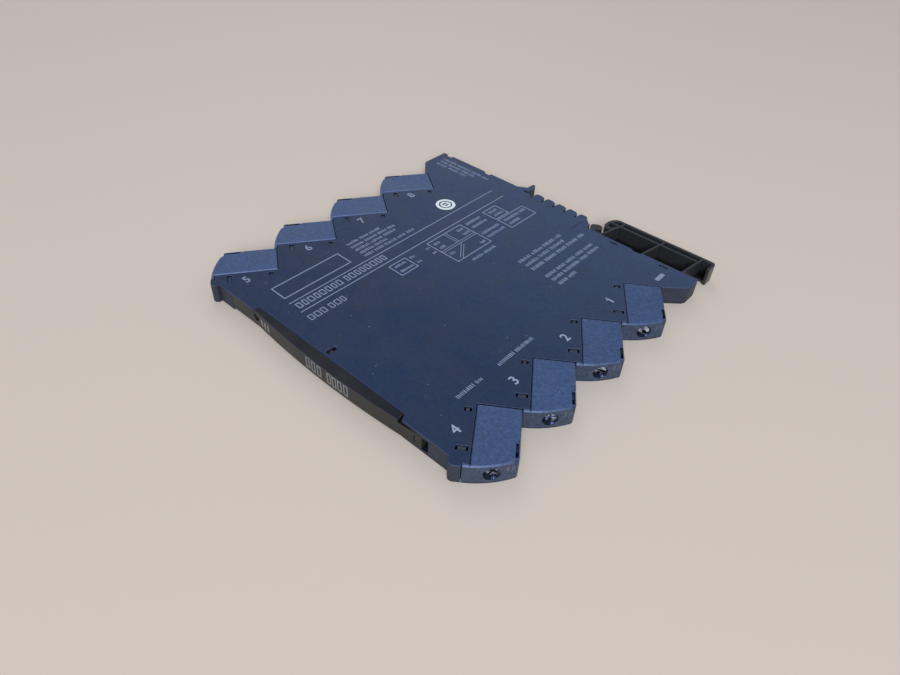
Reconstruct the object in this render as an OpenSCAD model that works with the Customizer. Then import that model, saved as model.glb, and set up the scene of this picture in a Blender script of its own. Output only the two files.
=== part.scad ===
// Slim signal conditioner for a 35 mm mounting rail, lying on its side.
// Millimetres. X runs across the two rows of terminals, -Y is the front with
// its cover, +Y is the rail side with the foot latch, and Z is the thickness.
// The origin is on the table, under the middle of the outline.

/* [Overall] */
// Width across the two rows of terminals
unit_w = 112.8; // [111:0.1:118]
// Thickness over the terminal blocks
unit_t = 6.1; // [6.1:0.1:7]
// How far the blocks stand proud of the upper side
block_proud = 0.1; // [0.05:0.05:0.2]
// Thickness of the two large side walls
face_t = 0.9; // [0.8:0.05:1]
// Thickness of the walls round the edge
wall_t = 1.0; // [0.8:0.1:1.2]

/* [Terminal rows] */
// Spacing of the steps along a row
row_pitch = 22.5; // [22.3:0.1:23]
// Slant of the steps
row_angle = 35; // [34:0.5:36]
// Distance from the front to the first inner corner
row_start = 17.9; // [17.5:0.1:18.5]
// Distance from the end of the last step to the back of the foot latch
rear_d = 7.1; // [7:0.1:8]
// Gap between a block and the housing
block_gap = 0.2; // [0.1:0.05:0.3]

/* [Terminal blocks] */
// Width of a block across its screw
block_w = 10.95; // [10.7:0.05:11.4]
// Radius of the rounded screw face
face_r = 26; // [22:0.5:34]
// How far the centre of that radius lies inward of the block
face_off = 2; // [1:0.1:3]
// How far the screw face stands past the housing's corner
face_out = 0.75; // [0.5:0.05:1]
// Radius of the block's outer corner
corner_r = 1.2; // [0.8:0.1:1.6]
// Chamfer along the upper edge of the screw face
face_chamfer = 0.4; // [0.3:0.05:0.5]
// Thickness of the flange beside the screw face
flange_t = 0.8; // [0.7:0.05:1]
// Chamfer along the edges of a block's upper side
block_chamfer = 0.3; // [0.2:0.05:0.4]

/* [Clamps] */
// Radius of the clamping screw's shank
screw_r = 1.25; // [1.1:0.05:1.3]
// Radius of the screw's head
head_r = 1.8; // [1.6:0.05:1.85]
// Thickness of the screw's head
head_t = 1.4; // [1.2:0.1:1.6]
// Depth of the head below the screw face
head_sink = 0.9; // [0.6:0.1:1.2]
// Width of the screwdriver slot
slot_w = 0.5; // [0.4:0.05:0.7]
// Distance of the screw from the block's inner edge
screw_u = 5.0; // [4.8:0.1:5.2]
// Radial clearance of the shank in the block
shank_fit = 0.08; // [0.05:0.01:0.1]
// Radial clearance of the shank in the cage's thread
thread_fit = 0.04; // [0.02:0.01:0.06]
// Length of the clamp cage along the wire
cage_l = 4.6; // [4:0.1:4.8]
// Width of the clamp cage
cage_w = 4.2; // [4:0.05:4.2]
// Thickness of the cage's side walls
cage_side = 0.6; // [0.5:0.05:0.7]
// Thickness of the cage's top and bottom
cage_end = 0.9; // [0.7:0.05:1]
// Travel of the cage from open to closed
cage_travel = 2.4; // [2:0.1:2.6]
// Thickness of the contact bar
bar_t = 0.7; // [0.6:0.05:0.8]
// Width of the contact bar
bar_w = 2.3; // [2:0.05:2.4]
// Width of the wire entry in the block
entry_w = 4.2; // [4:0.1:4.4]

/* [Front] */
// Setback of the housing's front edge behind the cover
front_back = 1.6; // [1.4:0.1:2]
// Setback of the middle of that edge, where the cover shows
cut_back = 3.5; // [3.2:0.1:4]
// Half length of the setback in the middle
cut_half = 28.3; // [26:0.1:30]
// Left end of the front cover
cover_left = 38.7; // [37:0.1:39.5]
// Right end of the front cover
cover_right = 35.6; // [35:0.1:37]
// Width of the opening at the cover's right end
pry_w = 2.1; // [1.6:0.1:2.6]
// Distance of the cover's highest point right of the middle
bulge_x = 4; // [2:0.5:5]
// Half length of the cover's bulge
bulge_half = 30.2; // [29:0.1:31]
// Radius of the light window
lamp_r = 1.1; // [0.8:0.05:1.15]
// Distance of the light window from the cover's left end
lamp_in = 11.2; // [9:0.1:11.5]
// Gap round the raised middle of the cover
raise_gap = 0.1; // [0.05:0.05:0.2]

/* [Rail side] */
// Distance of the back edge from the back of the latch
edge_back = 7.1; // [7:0.1:7.5]
// Setback of the rail plane from the back edge
rail_sink = 1.1; // [1:0.05:1.2]
// Width of the rail that the unit fits
rail_w = 35; // [35:0.1:35.3]
// Left edge of the rail, from the middle
rail_left = 15.5; // [15:0.1:16]
// Thickness of the rail's flange, with its play
rail_t = 1.2; // [1.1:0.1:1.3]
// Height of the fixed rail hook over the rail plane
hook_h = 6.2; // [5.8:0.1:6.6]
// Spacing of the contact fins that dip into the rail
fin_pitch = 4.6; // [4.5:0.05:4.7]
// Width of one fin
fin_w = 3.9; // [3.6:0.1:4]
// Reach of the fins past the rail plane
fin_reach = 1.8; // [1.6:0.1:2]
// Left edge of the first fin
fin_left = 10.7; // [10.5:0.1:10.8]

/* [Foot latch] */
// Left end of the latch's nose
latch_left = 16.9; // [16.6:0.1:17.4]
// Right end of the latch
latch_end = 54.3; // [54:0.1:55]
// Height of the latch above the edge of the housing
latch_h = 11.8; // [11.6:0.1:12]
// Thickness of the latch's outer walls
latch_wall = 0.9; // [0.8:0.05:1.1]
// Thickness of its ribs
rib_t = 0.7; // [0.6:0.05:0.9]
// Clearance of the latch in its channel
latch_gap = 0.25; // [0.2:0.05:0.3]
// Travel of the latch
latch_travel = 3.5; // [3:0.1:3.6]

/* [Inside] */
// Thickness of the circuit board
board_t = 0.8; // [0.6:0.1:0.8]
// Gap under the circuit board
board_lift = 0.1; // [0.05:0.05:0.15]
// Distance of the board from the blocks
board_gap = 1.5; // [1.4:0.1:1.8]
// Radius of the housing pegs
peg_r = 1.3; // [1.2:0.05:1.4]
// Radial clearance of the pegs in their sockets
peg_fit = 0.05; // [0.03:0.01:0.08]
// Length of the transformer core
core_l = 9.6; // [9:0.2:10]
// Width of the transformer core
core_w = 8.4; // [8:0.2:9]

/* [Hidden] */
$fn = 32;
eps = 0.01;
rows = 4;
fins = 5;
unit_d = row_start + rows * row_pitch + rear_d;
housing_colour = "#30343f";
block_colour = "#485470";
latch_colour = "#1c1d22";
steel_colour = "#b9bdc4";
copper_colour = "#c08a5a";

// Levels through the thickness
case_t = unit_t - block_proud;
core_z0 = face_t;
core_z1 = case_t - face_t;
core_h = core_z1 - core_z0;
mid_z = unit_t / 2;
case_z = case_t / 2;

// Outline of the steps
ct = cos(row_angle);
st = sin(row_angle);
block_l = row_pitch * ct - block_gap;
flange_w = row_pitch * st - block_w - block_gap;
lap_v = block_l + face_out - flange_t;
face_c = block_l + face_out - sqrt(face_r * face_r - face_off * face_off);
corner_u = block_w - corner_r;
corner_v = face_at(face_r - corner_r, corner_u);
row_x = unit_w / 2 - corner_u * ct - corner_v * st - corner_r;
front_y = -unit_d / 2;
row_y = front_y + row_start;
wall_y = front_y + front_back;
cut_y = front_y + cut_back;
cut_slant = 0.9;
lamp_x = cover_left - lamp_in;
post_w = 2.2;
post_u = -flange_w - block_gap - post_w;
post_v = block_l + face_out + 0.1;
post_round = 0.8;
tail_u = block_w + block_gap;
tail_x = unit_w / 2 - 2.4;
tail_drop = 5.4;
tail_lap = 0.15;
tail_round = 0.7;

// Rail side
back_y = unit_d / 2 - edge_back;
rail_y = back_y - rail_sink;
seat_drop = 1.4;
seat_y = rail_y - seat_drop;
seat_w = 3.1;
score_w = 0.22;
ledge_y = unit_d / 2 - latch_h - latch_gap;
fin_x = -fin_left;
fin_end = fin_x + (fins - 1) * fin_pitch + fin_w;
slope_x = fin_end + 2.0;
slope_drop = 0.7;
rail_x0 = -rail_left;
rail_x1 = rail_x0 + rail_w;
ramp_w = 3.4;
ramp_h = 2.0;
lip_w = 1.8;

// Block interior, measured from the rear wall of the block along its screw
face_v = face_at(face_r, screw_u);
head_top = face_v - head_sink;
head_low = head_top - head_t;
ledge_t = 0.6;
ledge_v = head_low - 0.05;
room_top = ledge_v - ledge_t;
bar_top = room_top - cage_end - cage_travel - 0.1;
bar_low = bar_top - bar_t;
cage_top = bar_top + 0.05 + cage_end;
wire_room = cage_travel + 0.15;
cage_low = bar_low - wire_room - cage_end;
room_low = cage_low - 0.35;
room_side = 0.3;
room_skin = 0.85;
bar_z0 = mid_z - bar_w / 2;
bar_tail = 2.9;
bar_nose = screw_u + cage_l / 2 + 0.5;
leg_w = 0.8;
bar_slot = 0.1;
bore_gap = 0.2;
entry_v0 = cage_low + cage_end + 0.15;
slot_l = [2.0, 3.1];
arm_v = [1.9, 13.85];
arm_reach = [2.5, 3.3];
arm_w = 1.1;
arm_t = 0.75;
arm_gap = 0.1;
nib_end = 0.6;

// Latch
latch_y0 = ledge_y + latch_gap;
latch_y1 = unit_d / 2;
latch_z0 = 0.2;
latch_z1 = case_t - 0.15;
latch_floor = 0.8;
nose_y = rail_y + rail_t + 0.05;
long_rib_y = latch_y1 - 3.1;
stub_l = 4.9;
rib_x = [rail_x1 - 0.3, latch_end - 19.6, latch_end - 5.7];
rib_lean = [0.24, 0.18, 0.12];
bulb_r = 1.55;
bulb_x = slope_x + 2.2;
bulb_y = rail_y + 0.85 - bulb_r;
spring_t = 0.6;
bead_t = 1.1;
bead_y0 = ledge_y - wall_t - latch_gap - bead_t;
channel_y = bead_y0 - latch_gap;
web_h = 1.2;
bead_h = 3.2;
latch_windows = [slope_x + 10.1, slope_x + 27.9];
dip_x0 = rib_x[1] - 3.8;
dip_x1 = dip_x0 + 4;
dip_h = 0.7;
bead_x0 = rib_x[0] + 1.3;
bead_x1 = tail_x - wall_t - latch_travel - 0.3;

// Inside
board_z = core_z0 + board_lift;
board_top = board_z + board_t;
board_front = cut_y + wall_t + 0.7;
board_rear = channel_y - wall_t - 0.5;
peg_front = row_y - 6.4;
peg_rear = row_y + 76.6;
pegs = [[-30, peg_rear + 1], [30, peg_rear - 1], [-32, peg_front], [30, peg_front]];
guide_z = case_z + 0.8;
arm_slot_w = 1.4;
arc_r = (bulge_half * bulge_half) / (2 * front_back) + front_back / 2;

function face_at(r, u) = face_c + sqrt(r * r - (u + face_off) * (u + face_off));
function spot(k, u, v) = [row_x + u * ct + v * st, row_y + k * row_pitch + u * st - v * ct];
function flip(p) = [-p[0], p[1]];
function reverse(list) = [for (i = [len(list) - 1 : -1 : 0]) list[i]];
function step_of(n) = n <= rows ? rows - n : n - rows - 1;
function side_of(n) = n <= rows ? 1 : -1;

// The stepped edge of a side wall, from the front to the rear
function steps(gap) = [
    for (k = [0 : rows - 1]) each [
        spot(k, -flange_w - gap, k > 0 ? row_pitch * ct - gap : post_v),
        spot(k, -flange_w - gap, lap_v - gap),
        spot(k, -gap, lap_v - gap),
        spot(k, -gap, -gap)
    ]
];

// A wall between two points, on the left of the way from p to q
module wall(p, q, t = wall_t) {
    translate(p)
        rotate(atan2(q[1] - p[1], q[0] - p[0]))
            square([norm(q - p), t]);
}

module layer(z0, z1) {
    translate([0, 0, z0]) linear_extrude(z1 - z0) children();
}

// Puts a piece drawn in a block's own frame, with -Y along the screw, at terminal n
module at_terminal(n) {
    mirror([side_of(n) < 0 ? 1 : 0, 0, 0])
        translate([row_x, row_y + step_of(n) * row_pitch, 0])
            rotate(row_angle)
                children();
}

// Lays a piece that is drawn along +Z so that it runs along the screw
module along_screw(v) {
    translate([screw_u, -v, mid_z]) rotate([90, 0, 0]) children();
}

// Plan of the housing

post_corner = spot(0, post_u, post_v);
post_x = post_corner[0] - 1.7;

function front_half(cut, slant) = [
    [cut, cut_y],
    [cut + slant, wall_y],
    [post_x, wall_y],
    [post_x, post_corner[1] + post_round],
    [post_x + post_round, post_corner[1]],
    post_corner
];

function front_left(cut) = reverse([for (p = front_half(cut, 0)) flip(p)]);

tail_heel = spot(rows - 1, tail_u, -block_gap);
tail_root = spot(rows - 1, tail_u, tail_lap);
tail_low = [tail_x, tail_root[1] + tail_drop];
tail_dir = (tail_low - tail_root) / norm(tail_low - tail_root);

function rear_right() = [
    tail_heel,
    tail_root,
    tail_low - tail_round * tail_dir,
    tail_low + [0, tail_round],
    [tail_x, ledge_y],
    [slope_x + 0.5, ledge_y],
    [slope_x, seat_y - slope_drop],
    [slope_x, seat_y]
];

// The fixed hook, from the rail's seat over the lip to the ramp
function hook() = [
    [rail_x0 + seat_w + 0.9, seat_y],
    [rail_x0 + seat_w, rail_y],
    [rail_x0, rail_y],
    [rail_x0, rail_y + rail_t],
    [rail_x0 + lip_w - 0.4, rail_y + rail_t],
    [rail_x0 + lip_w, rail_y + rail_t + 0.6],
    [rail_x0 + lip_w, rail_y + rail_t + 1.8],
    [rail_x0 + lip_w - 0.6, rail_y + hook_h - 1.2],
    [rail_x0 + lip_w - 0.8, rail_y + hook_h - 0.2],
    [rail_x0 + lip_w - 1.2, rail_y + hook_h],
    [rail_x0 + 0.2, rail_y + hook_h],
    [rail_x0 - 0.15, rail_y + hook_h - 0.8],
    [rail_x0 - 0.15, back_y + ramp_h],
    [rail_x0 - ramp_w / 2, back_y + ramp_h / 2],
    [rail_x0 - ramp_w, back_y]
];

function rear_left() = concat(hook(), [
    [-tail_x, back_y],
    flip(tail_low + [0, tail_round]),
    flip(tail_low - tail_round * tail_dir),
    flip(tail_root),
    flip(tail_heel)
]);

module side_plan(left_cut) {
    difference() {
        polygon(concat(
            front_left(left_cut), front_half(cut_half, cut_slant), steps(block_gap),
            rear_right(), rear_left(), reverse([for (p = steps(block_gap)) flip(p)])));
        for (x = [-tail_x + 1.6, -tail_x + 20.2])
            translate([x, back_y - 1.0]) square([2.8, 1.0 + eps]);
    }
    for (i = [0 : fins - 1]) translate([fin_x + i * fin_pitch, 0]) fin_plan(i);
}

// One fin. The last one falls away in a longer slope
module fin_plan(i) {
    top = rail_y + fin_reach;
    slope = slope_x - fin_end;
    tail = i < fins - 1
        ? [[fin_w - 0.2, top - 0.6], [fin_w, top - 1.1], [fin_w, seat_y - eps]]
        : [[fin_w - 0.8, top - 0.9], [fin_w + slope / 2 - 0.3, top - 2.3], [fin_w + slope - 0.3, seat_y - 0.1]];
    polygon(concat(
        [[0, seat_y - eps], [0, top - 0.8], [0.3, top], [0.9, top + 0.2], [fin_w - 1.1, top]], tail));
}

// Walls that join the two sides of the housing
module edge_walls() {
    // tail beside terminal 1 and its twin beside terminal 8
    for (m = [0, 1]) mirror([m, 0]) {
        polygon([
            spot(rows - 1, -block_gap, -block_gap), tail_heel, tail_root,
            tail_low - tail_round * tail_dir, tail_low + [0, tail_round],
            tail_low + [-wall_t, tail_round],
            spot(rows - 1, tail_u - 0.3 * wall_t, -block_gap - wall_t),
            spot(rows - 1, -block_gap, -block_gap - wall_t)
        ]);
    }
    wall(tail_low + [0, tail_round - 0.1], [tail_x, ledge_y]);
    wall([-tail_x, back_y], flip(tail_low + [0, tail_round - 0.1]));
    wall([rail_x0 - ramp_w, back_y], [-tail_x, back_y]);
    // floor behind the fins, and the inner end and floor of the latch channel
    wall([slope_x, seat_y], [rail_x0, seat_y]);
    wall([slope_x, seat_y - slope_drop], [slope_x, seat_y]);
    wall([slope_x + 0.5, ledge_y], [slope_x, seat_y - slope_drop]);
    wall([slope_x + 0.5, channel_y - wall_t], [slope_x + 0.5, ledge_y]);
    wall([tail_x - wall_t, channel_y], [slope_x, channel_y]);
    // front wall behind the cover
    wall([-cover_left - 0.2, cut_y], [cover_right + pry_w + eps, cut_y]);
    // short front walls beside the cover, with their corner posts
    wall([cover_right + pry_w, wall_y], [post_x + wall_t, wall_y]);
    wall([-post_x - wall_t, wall_y], [-cover_left - 0.2, wall_y]);
    wall([cover_right + pry_w, cut_y + wall_t], [cover_right + pry_w, wall_y]);
    wall([-cover_left - 0.2 - wall_t, cut_y + wall_t], [-cover_left - 0.2 - wall_t, wall_y]);
    for (m = [0, 1]) mirror([m, 0]) {
        polygon([
            [post_x, wall_y], [post_x, post_corner[1] + post_round],
            [post_x + post_round, post_corner[1]], post_corner,
            spot(0, -flange_w - block_gap, post_v),
            spot(0, -flange_w - block_gap, lap_v - block_gap),
            spot(0, post_u, lap_v - 2 * wall_t)
        ]);
    }
}

module hook_plan() {
    polygon(concat(hook(), [
        [rail_x0 - ramp_w, back_y - wall_t],
        [rail_x0 + seat_w + 0.9, seat_y - wall_t]
    ]));
}

// Windows in the upper side wall
module face_windows() {
    for (n = [1 : 2 * rows]) {
        mirror([side_of(n) < 0 ? 1 : 0, 0])
            translate([row_x, row_y + step_of(n) * row_pitch]) rotate(row_angle)
                for (i = [0, 1])
                    translate([-arm_reach[i] - nib_end, -arm_v[i] - arm_w / 2 - 0.15])
                        square([slot_l[i], arm_w + 0.3]);
    }
    for (x = latch_windows) translate([x, ledge_y - 1.9]) square([3.1, 0.8]);
    // dip in the edge beside the latch
    polygon([[dip_x0, ledge_y + eps], [dip_x0 + 1, ledge_y - dip_h],
             [dip_x1 - 1, ledge_y - dip_h], [dip_x1, ledge_y + eps]]);
    translate([-arm_slot_w, cut_y + wall_t - 0.1]) square([arm_slot_w, 3.0]);
}

// Scored lines on the upper side, at the foot of the fins
module face_scores() {
    corner = [fin_end - 0.9, seat_y - 0.4];
    wall(corner + [-4.2, -4.2], corner + [0.1, 0.1], score_w);
    wall([corner[0], seat_y - 7], corner + [0, 0.05], score_w);
    for (i = [0 : fins - 1]) {
        x = fin_x + i * fin_pitch;
        wall([x + fin_w - 0.1, seat_y - 0.15], [x + fin_w - 1.9, seat_y - 0.75], score_w);
    }
}

module fin_slots() {
    for (i = [0 : fins - 1])
        translate([fin_x + i * fin_pitch + 0.9, seat_y - wall_t - 1, core_z0 + 0.6])
            cube([fin_w - 1.8, wall_t + 6, core_h - 1.2]);
}

module peg_sockets() {
    for (p = pegs) translate([p[0], p[1], board_top + 0.2]) children();
}

module housing_tray() {
    color(housing_colour) difference() {
        union() {
            layer(core_z1, case_t) side_plan(cut_half);
            layer(core_z0, core_z1 + eps) {
                edge_walls();
                hook_plan();
                difference() {
                    for (i = [0 : fins - 1]) translate([fin_x + i * fin_pitch, 0]) fin_plan(i);
                    translate([fin_x - 1, seat_y - 3]) square([fin_end - fin_x + 3, 3]);
                }
            }
            // upper lip of the latch channel
            layer(case_z + web_h / 2 + latch_gap, core_z1 + eps)
                translate([slope_x + 1, ledge_y - wall_t]) square([tail_x - slope_x - 1, wall_t]);
            peg_sockets() cylinder(r = peg_r + 1.0, h = core_z1 - board_top - 0.2 + eps);
        }
        layer(core_z1 - eps, case_t + eps) face_windows();
        layer(case_t - score_w, case_t + eps) face_scores();
        fin_slots();
        peg_sockets() translate([0, 0, -eps])
            cylinder(r = peg_r + peg_fit, h = core_z1 - board_top - 0.2 - 0.1);
        // light window and the latch arm of the cover
        translate([-lamp_x, cut_y - 1, guide_z]) rotate([-90, 0, 0])
            cylinder(r = lamp_r, h = wall_t + 2);
        translate([-arm_slot_w, cut_y - 1, core_z1 - arm_t - 0.25])
            cube([arm_slot_w, wall_t + 2, arm_t + 0.25]);
    }
}

module side_cover() {
    color(housing_colour) {
        layer(0, core_z0) side_plan(cover_left);
        layer(core_z0 - eps, case_z - web_h / 2 - latch_gap)
            translate([slope_x + 4.2, ledge_y - wall_t])
                square([tail_x - wall_t - slope_x - 4.4, wall_t]);
        for (p = pegs) translate([p[0], p[1], core_z0 - eps]) cylinder(r = peg_r, h = core_h - 0.8);
    }
}

// Outline of the front cover in plan
module cover_plan() {
    intersection() {
        union() {
            translate([bulge_x, front_y + arc_r]) circle(arc_r, $fn = 360);
            translate([-cover_left, wall_y]) square([cover_left + cover_right, cut_back]);
        }
        translate([-cover_left, front_y - 1]) square([cover_left + cover_right, cut_back + 1 - 0.15]);
    }
}

// Its raised middle fills the setback of the upper side wall
module cover_middle() {
    intersection() {
        cover_plan();
        translate([-cut_half + raise_gap, front_y - 1])
            square([2 * (cut_half - raise_gap), cut_back + 1 - raise_gap]);
    }
}

module front_cover() {
    z0 = core_z0 + 0.05;
    z1 = core_z1 - 0.05;
    color(latch_colour) difference() {
        union() {
            layer(z0, z1) cover_plan();
            layer(z1 - eps, case_t) cover_middle();
            // snap arm with its nib, under the window of the upper side wall
            translate([-arm_slot_w + 0.2, cut_y - 0.5, z1 - arm_t])
                cube([arm_slot_w - 0.4, wall_t + 3.1, arm_t]);
            translate([-arm_slot_w + 0.2, cut_y + wall_t + 0.4, z1 - arm_t])
                cube([arm_slot_w - 0.4, 1.4, arm_t + 0.6]);
        }
        // hollow back
        for (x = [-lamp_x + 2.6, 2.2])
            translate([x, front_y + 1.5, z0 + 0.9])
                cube([x < 0 ? lamp_x - 5.6 : cover_right - 4.4, cut_back, z1 - z0 - 1.8]);
        translate([-lamp_x, front_y - 1, guide_z]) rotate([-90, 0, 0])
            cylinder(r = lamp_r, h = cut_back + 2);
    }
}

module light_guide() {
    color("#a8c8a8")
        translate([-lamp_x, wall_y + 0.4, guide_z]) rotate([-90, 0, 0])
            cylinder(r = lamp_r - 0.05, h = cut_y + wall_t + 0.2 - wall_y - 0.4);
}

// Terminal block

module block_plan() {
    difference() {
        union() {
            translate([0, -block_l - 1]) square([block_w, block_l + 1]);
            translate([-flange_w, -lap_v - 2]) square([flange_w + 1, 2]);
        }
        corner_waste();
    }
}

// What the rounding of the outer corner takes away, between the side and the screw face
module corner_waste() {
    reach = 2 * corner_r;
    aim = [corner_u + face_off, face_c - corner_v] / (face_r - corner_r);
    translate([corner_u, -corner_v]) difference() {
        polygon([[0, 0], [reach, 0], [reach, -reach], reach * aim]);
        circle(corner_r);
    }
}

// Keeps what lies inside the screw face, whose upper edge is chamfered
module face_round() {
    translate([-face_off, -face_c, 0]) {
        cylinder(r = face_r, h = unit_t - face_chamfer, $fn = 180);
        translate([0, 0, unit_t - face_chamfer])
            cylinder(r1 = face_r, r2 = face_r - face_chamfer, h = face_chamfer, $fn = 180);
    }
}

// Cuts a chamfer of width c along a straight upper edge that starts at p and runs along angle a
module edge_chamfer(p, a, l, c = block_chamfer) {
    translate([p[0], p[1], unit_t]) rotate(a)
        translate([-1, 0, 0]) rotate([45, 0, 0])
            translate([0, -c, -c] / sqrt(2))
                cube([l + 2, sqrt(2) * c, sqrt(2) * c]);
}

// Snap arm under the upper side wall, with a nib that shows in its slot
module block_arm(i) {
    z1 = core_z1 - arm_gap;
    translate([-arm_reach[i], -arm_v[i] - arm_w / 2, z1 - arm_t])
        cube([arm_reach[i] + 0.5, arm_w, arm_t]);
    translate([-arm_reach[i], -arm_v[i] - arm_w / 2, z1 - arm_t])
        cube([slot_l[i] - 2 * nib_end, arm_w, arm_t + arm_gap + 0.65]);
}

// Slot above the wire entry, behind a thin rim, and the nick beside it
module entry_slot() {
    v0 = entry_v0 + 2.1;
    v1 = corner_v + 0.1;
    translate([block_w - 1.05, -v1, unit_t - room_skin - 0.4]) cube([0.7, v1 - v0, 2]);
    translate([0, 0, unit_t - 0.9]) linear_extrude(1) polygon([
        [block_w - 0.5, -v0 + 0.5], [block_w + 0.1, -v0 + 0.3],
        [block_w + 0.1, -v0 + 1.3], [block_w - 0.5, -v0 + 0.9]
    ]);
}

module terminal_block(n) {
    color(block_colour) at_terminal(n) difference() {
        union() {
            intersection() {
                layer(0, unit_t) block_plan();
                face_round();
            }
            block_arm(0);
            block_arm(1);
        }
        entry_slot();
        // room for the clamp cage
        translate([screw_u - cage_l / 2 - room_side, -room_top, room_skin])
            cube([cage_l + 2 * room_side, room_top - room_low, unit_t - 2 * room_skin]);
        // screw well and the hole in its ledge
        along_screw(ledge_v) cylinder(r = head_r + bore_gap, h = face_r);
        along_screw(room_top - 1) cylinder(r = screw_r + shank_fit, h = 3);
        // wire entry, which opens beside the outer corner
        translate([screw_u, -entry_v0 - entry_w, room_skin + 0.25])
            cube([block_w, entry_w, unit_t - 2 * room_skin - 0.5]);
        // slot for the contact bar
        translate([-1, -bar_top - bar_slot, bar_z0 - bar_slot])
            cube([screw_u, bar_t + 2 * bar_slot, bar_w + 2 * bar_slot]);
        // relief in the rear half, behind the cage
        translate([screw_u - cage_l / 2 - room_side, -room_low + 1.2, room_skin])
            cube([cage_l + 2 * room_side, room_low - 2.4, unit_t - 2 * room_skin]);
        edge_chamfer([0, -block_l - 1], 90, block_l + 1);
        edge_chamfer([0, 0], 0, block_w);
        edge_chamfer([corner_u - 1.5, -corner_v - 4], 49, 3, 1.4);
        edge_chamfer([block_w, -block_l], 90, block_l);
    }
}

module terminal_screw(n) {
    turn = 37 * n;
    color(steel_colour) at_terminal(n) difference() {
        union() {
            along_screw(head_low) cylinder(r = head_r, h = head_t);
            along_screw(bar_top + 0.1) cylinder(r = screw_r, h = head_low - bar_top - 0.1 + eps);
        }
        along_screw(head_top - head_t / 2) rotate(turn)
            translate([-slot_w / 2, -head_r - 1, 0]) cube([slot_w, 2 * head_r + 2, head_t]);
    }
}

module clamp_cage(n) {
    color(steel_colour) at_terminal(n) difference() {
        translate([screw_u - cage_l / 2, -cage_top, mid_z - cage_w / 2])
            cube([cage_l, cage_top - cage_low, cage_w]);
        translate([screw_u - cage_l / 2 - 1, -cage_top + cage_end, mid_z - cage_w / 2 + cage_side])
            cube([cage_l + 2, cage_top - cage_low - 2 * cage_end, cage_w - 2 * cage_side]);
        along_screw(cage_top - cage_end - 0.5) cylinder(r = screw_r + thread_fit, h = cage_end + 1);
    }
}

module contact_bar(n) {
    color(copper_colour) at_terminal(n) {
        translate([-bar_tail, -bar_top, bar_z0]) cube([bar_tail + bar_nose, bar_t, bar_w]);
        translate([-bar_tail, -bar_top, board_z]) cube([leg_w, bar_t, bar_z0 - board_z + eps]);
    }
}

// Rail contacts

module rail_contact(i) {
    x = fin_x + (i - 1) * fin_pitch + fin_w / 2 - 0.4;
    y0 = board_rear_at_fins - 2.2;
    y1 = rail_y + fin_reach - 1.3;
    color(copper_colour) {
        translate([x, y0, board_top + 0.05]) cube([0.8, y1 - y0, 0.4]);
        translate([x, y1 - 0.4, board_top + 0.05]) cube([0.8, 0.4, core_h - 2.2]);
    }
}

board_rear_at_fins = seat_y - wall_t - 0.4;

// Foot latch

function rib_at(i, y) = rib_x[i] + rib_lean[i] * (y - latch_y0);

// Quadrilateral between the ribs i and j, over a stretch of y
module bay(i, j, y0, y1) {
    polygon([
        [rib_at(i, y0) + rib_t / 2, y0], [rib_at(j, y0) - rib_t / 2, y0],
        [rib_at(j, y1) - rib_t / 2, y1], [rib_at(i, y1) + rib_t / 2, y1]
    ]);
}

module latch_plan() {
    end_y = latch_y1 - stub_l + 0.7;
    polygon([
        [rib_at(0, latch_y0) - rib_t / 2, latch_y0], [rib_at(2, latch_y0) + rib_t / 2, latch_y0],
        [rib_at(2, end_y) + rib_t / 2, end_y], [latch_end - latch_wall, end_y],
        [latch_end - latch_wall, latch_y1 - stub_l], [latch_end, latch_y1 - stub_l],
        [latch_end, latch_y1 - 1.1], [latch_end - 0.4, latch_y1 - 0.3], [latch_end - 1.2, latch_y1],
        [latch_left + 2.6, latch_y1], [latch_left + 1.4, latch_y1 - 0.6],
        [latch_left + 0.5, latch_y1 - 1.8], [latch_left, latch_y1 - 3.5],
        [latch_left, nose_y + 1.3], [latch_left + 0.8, nose_y], [rib_at(0, nose_y) - rib_t / 2, nose_y]
    ]);
}

// The two pockets of the nose, below and above the long rib
module nose_pockets(y_rim) {
    low_y = long_rib_y - rib_t / 2;
    high_y = long_rib_y + rib_t / 2;
    polygon([
        [latch_left + latch_wall, nose_y + 1.6], [rib_at(0, nose_y) - rib_t / 2 - 0.3, nose_y + 0.9],
        [rib_at(0, low_y) - rib_t / 2, low_y], [latch_left + latch_wall + 0.1, low_y]
    ]);
    polygon([
        [latch_left + latch_wall + 0.5, high_y], [rib_at(0, high_y) - rib_t / 2, high_y],
        [rib_at(0, y_rim) - rib_t / 2, y_rim], [latch_left + 2.7, y_rim],
        [latch_left + 2.0, y_rim - 0.5]
    ]);
}

module latch_pockets(front) {
    y_rim = latch_y1 - latch_wall;
    for (i = [0, 1]) {
        bay(i, i + 1, front, long_rib_y - rib_t / 2);
        bay(i, i + 1, long_rib_y + rib_t / 2, y_rim);
    }
    polygon([
        [rib_at(2, latch_y0) + rib_t / 2, latch_y0 - 1], [latch_end - latch_wall, latch_y0 - 1],
        [latch_end - latch_wall, y_rim - 0.5], [latch_end - latch_wall - 0.5, y_rim],
        [rib_at(2, y_rim) + rib_t / 2, y_rim]
    ]);
    nose_pockets(y_rim);
}

// Spring tongue with the bulb that the rail's flange presses
module latch_spring() {
    hull() {
        translate([bulb_x + 0.4, bulb_y]) circle(bulb_r);
        translate([bulb_x - 0.75, bulb_y - 0.2]) circle(bulb_r - 0.35);
    }
    polygon([
        [bulb_x - 0.9, latch_y0], [rib_at(0, latch_y0), latch_y0],
        [rib_at(0, latch_y0), latch_y0 + spring_t], [bulb_x + 0.6, latch_y0 + spring_t],
        [bulb_x + 0.9, bulb_y - 0.8], [bulb_x - 1.0, bulb_y - 0.8]
    ]);
}

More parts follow.
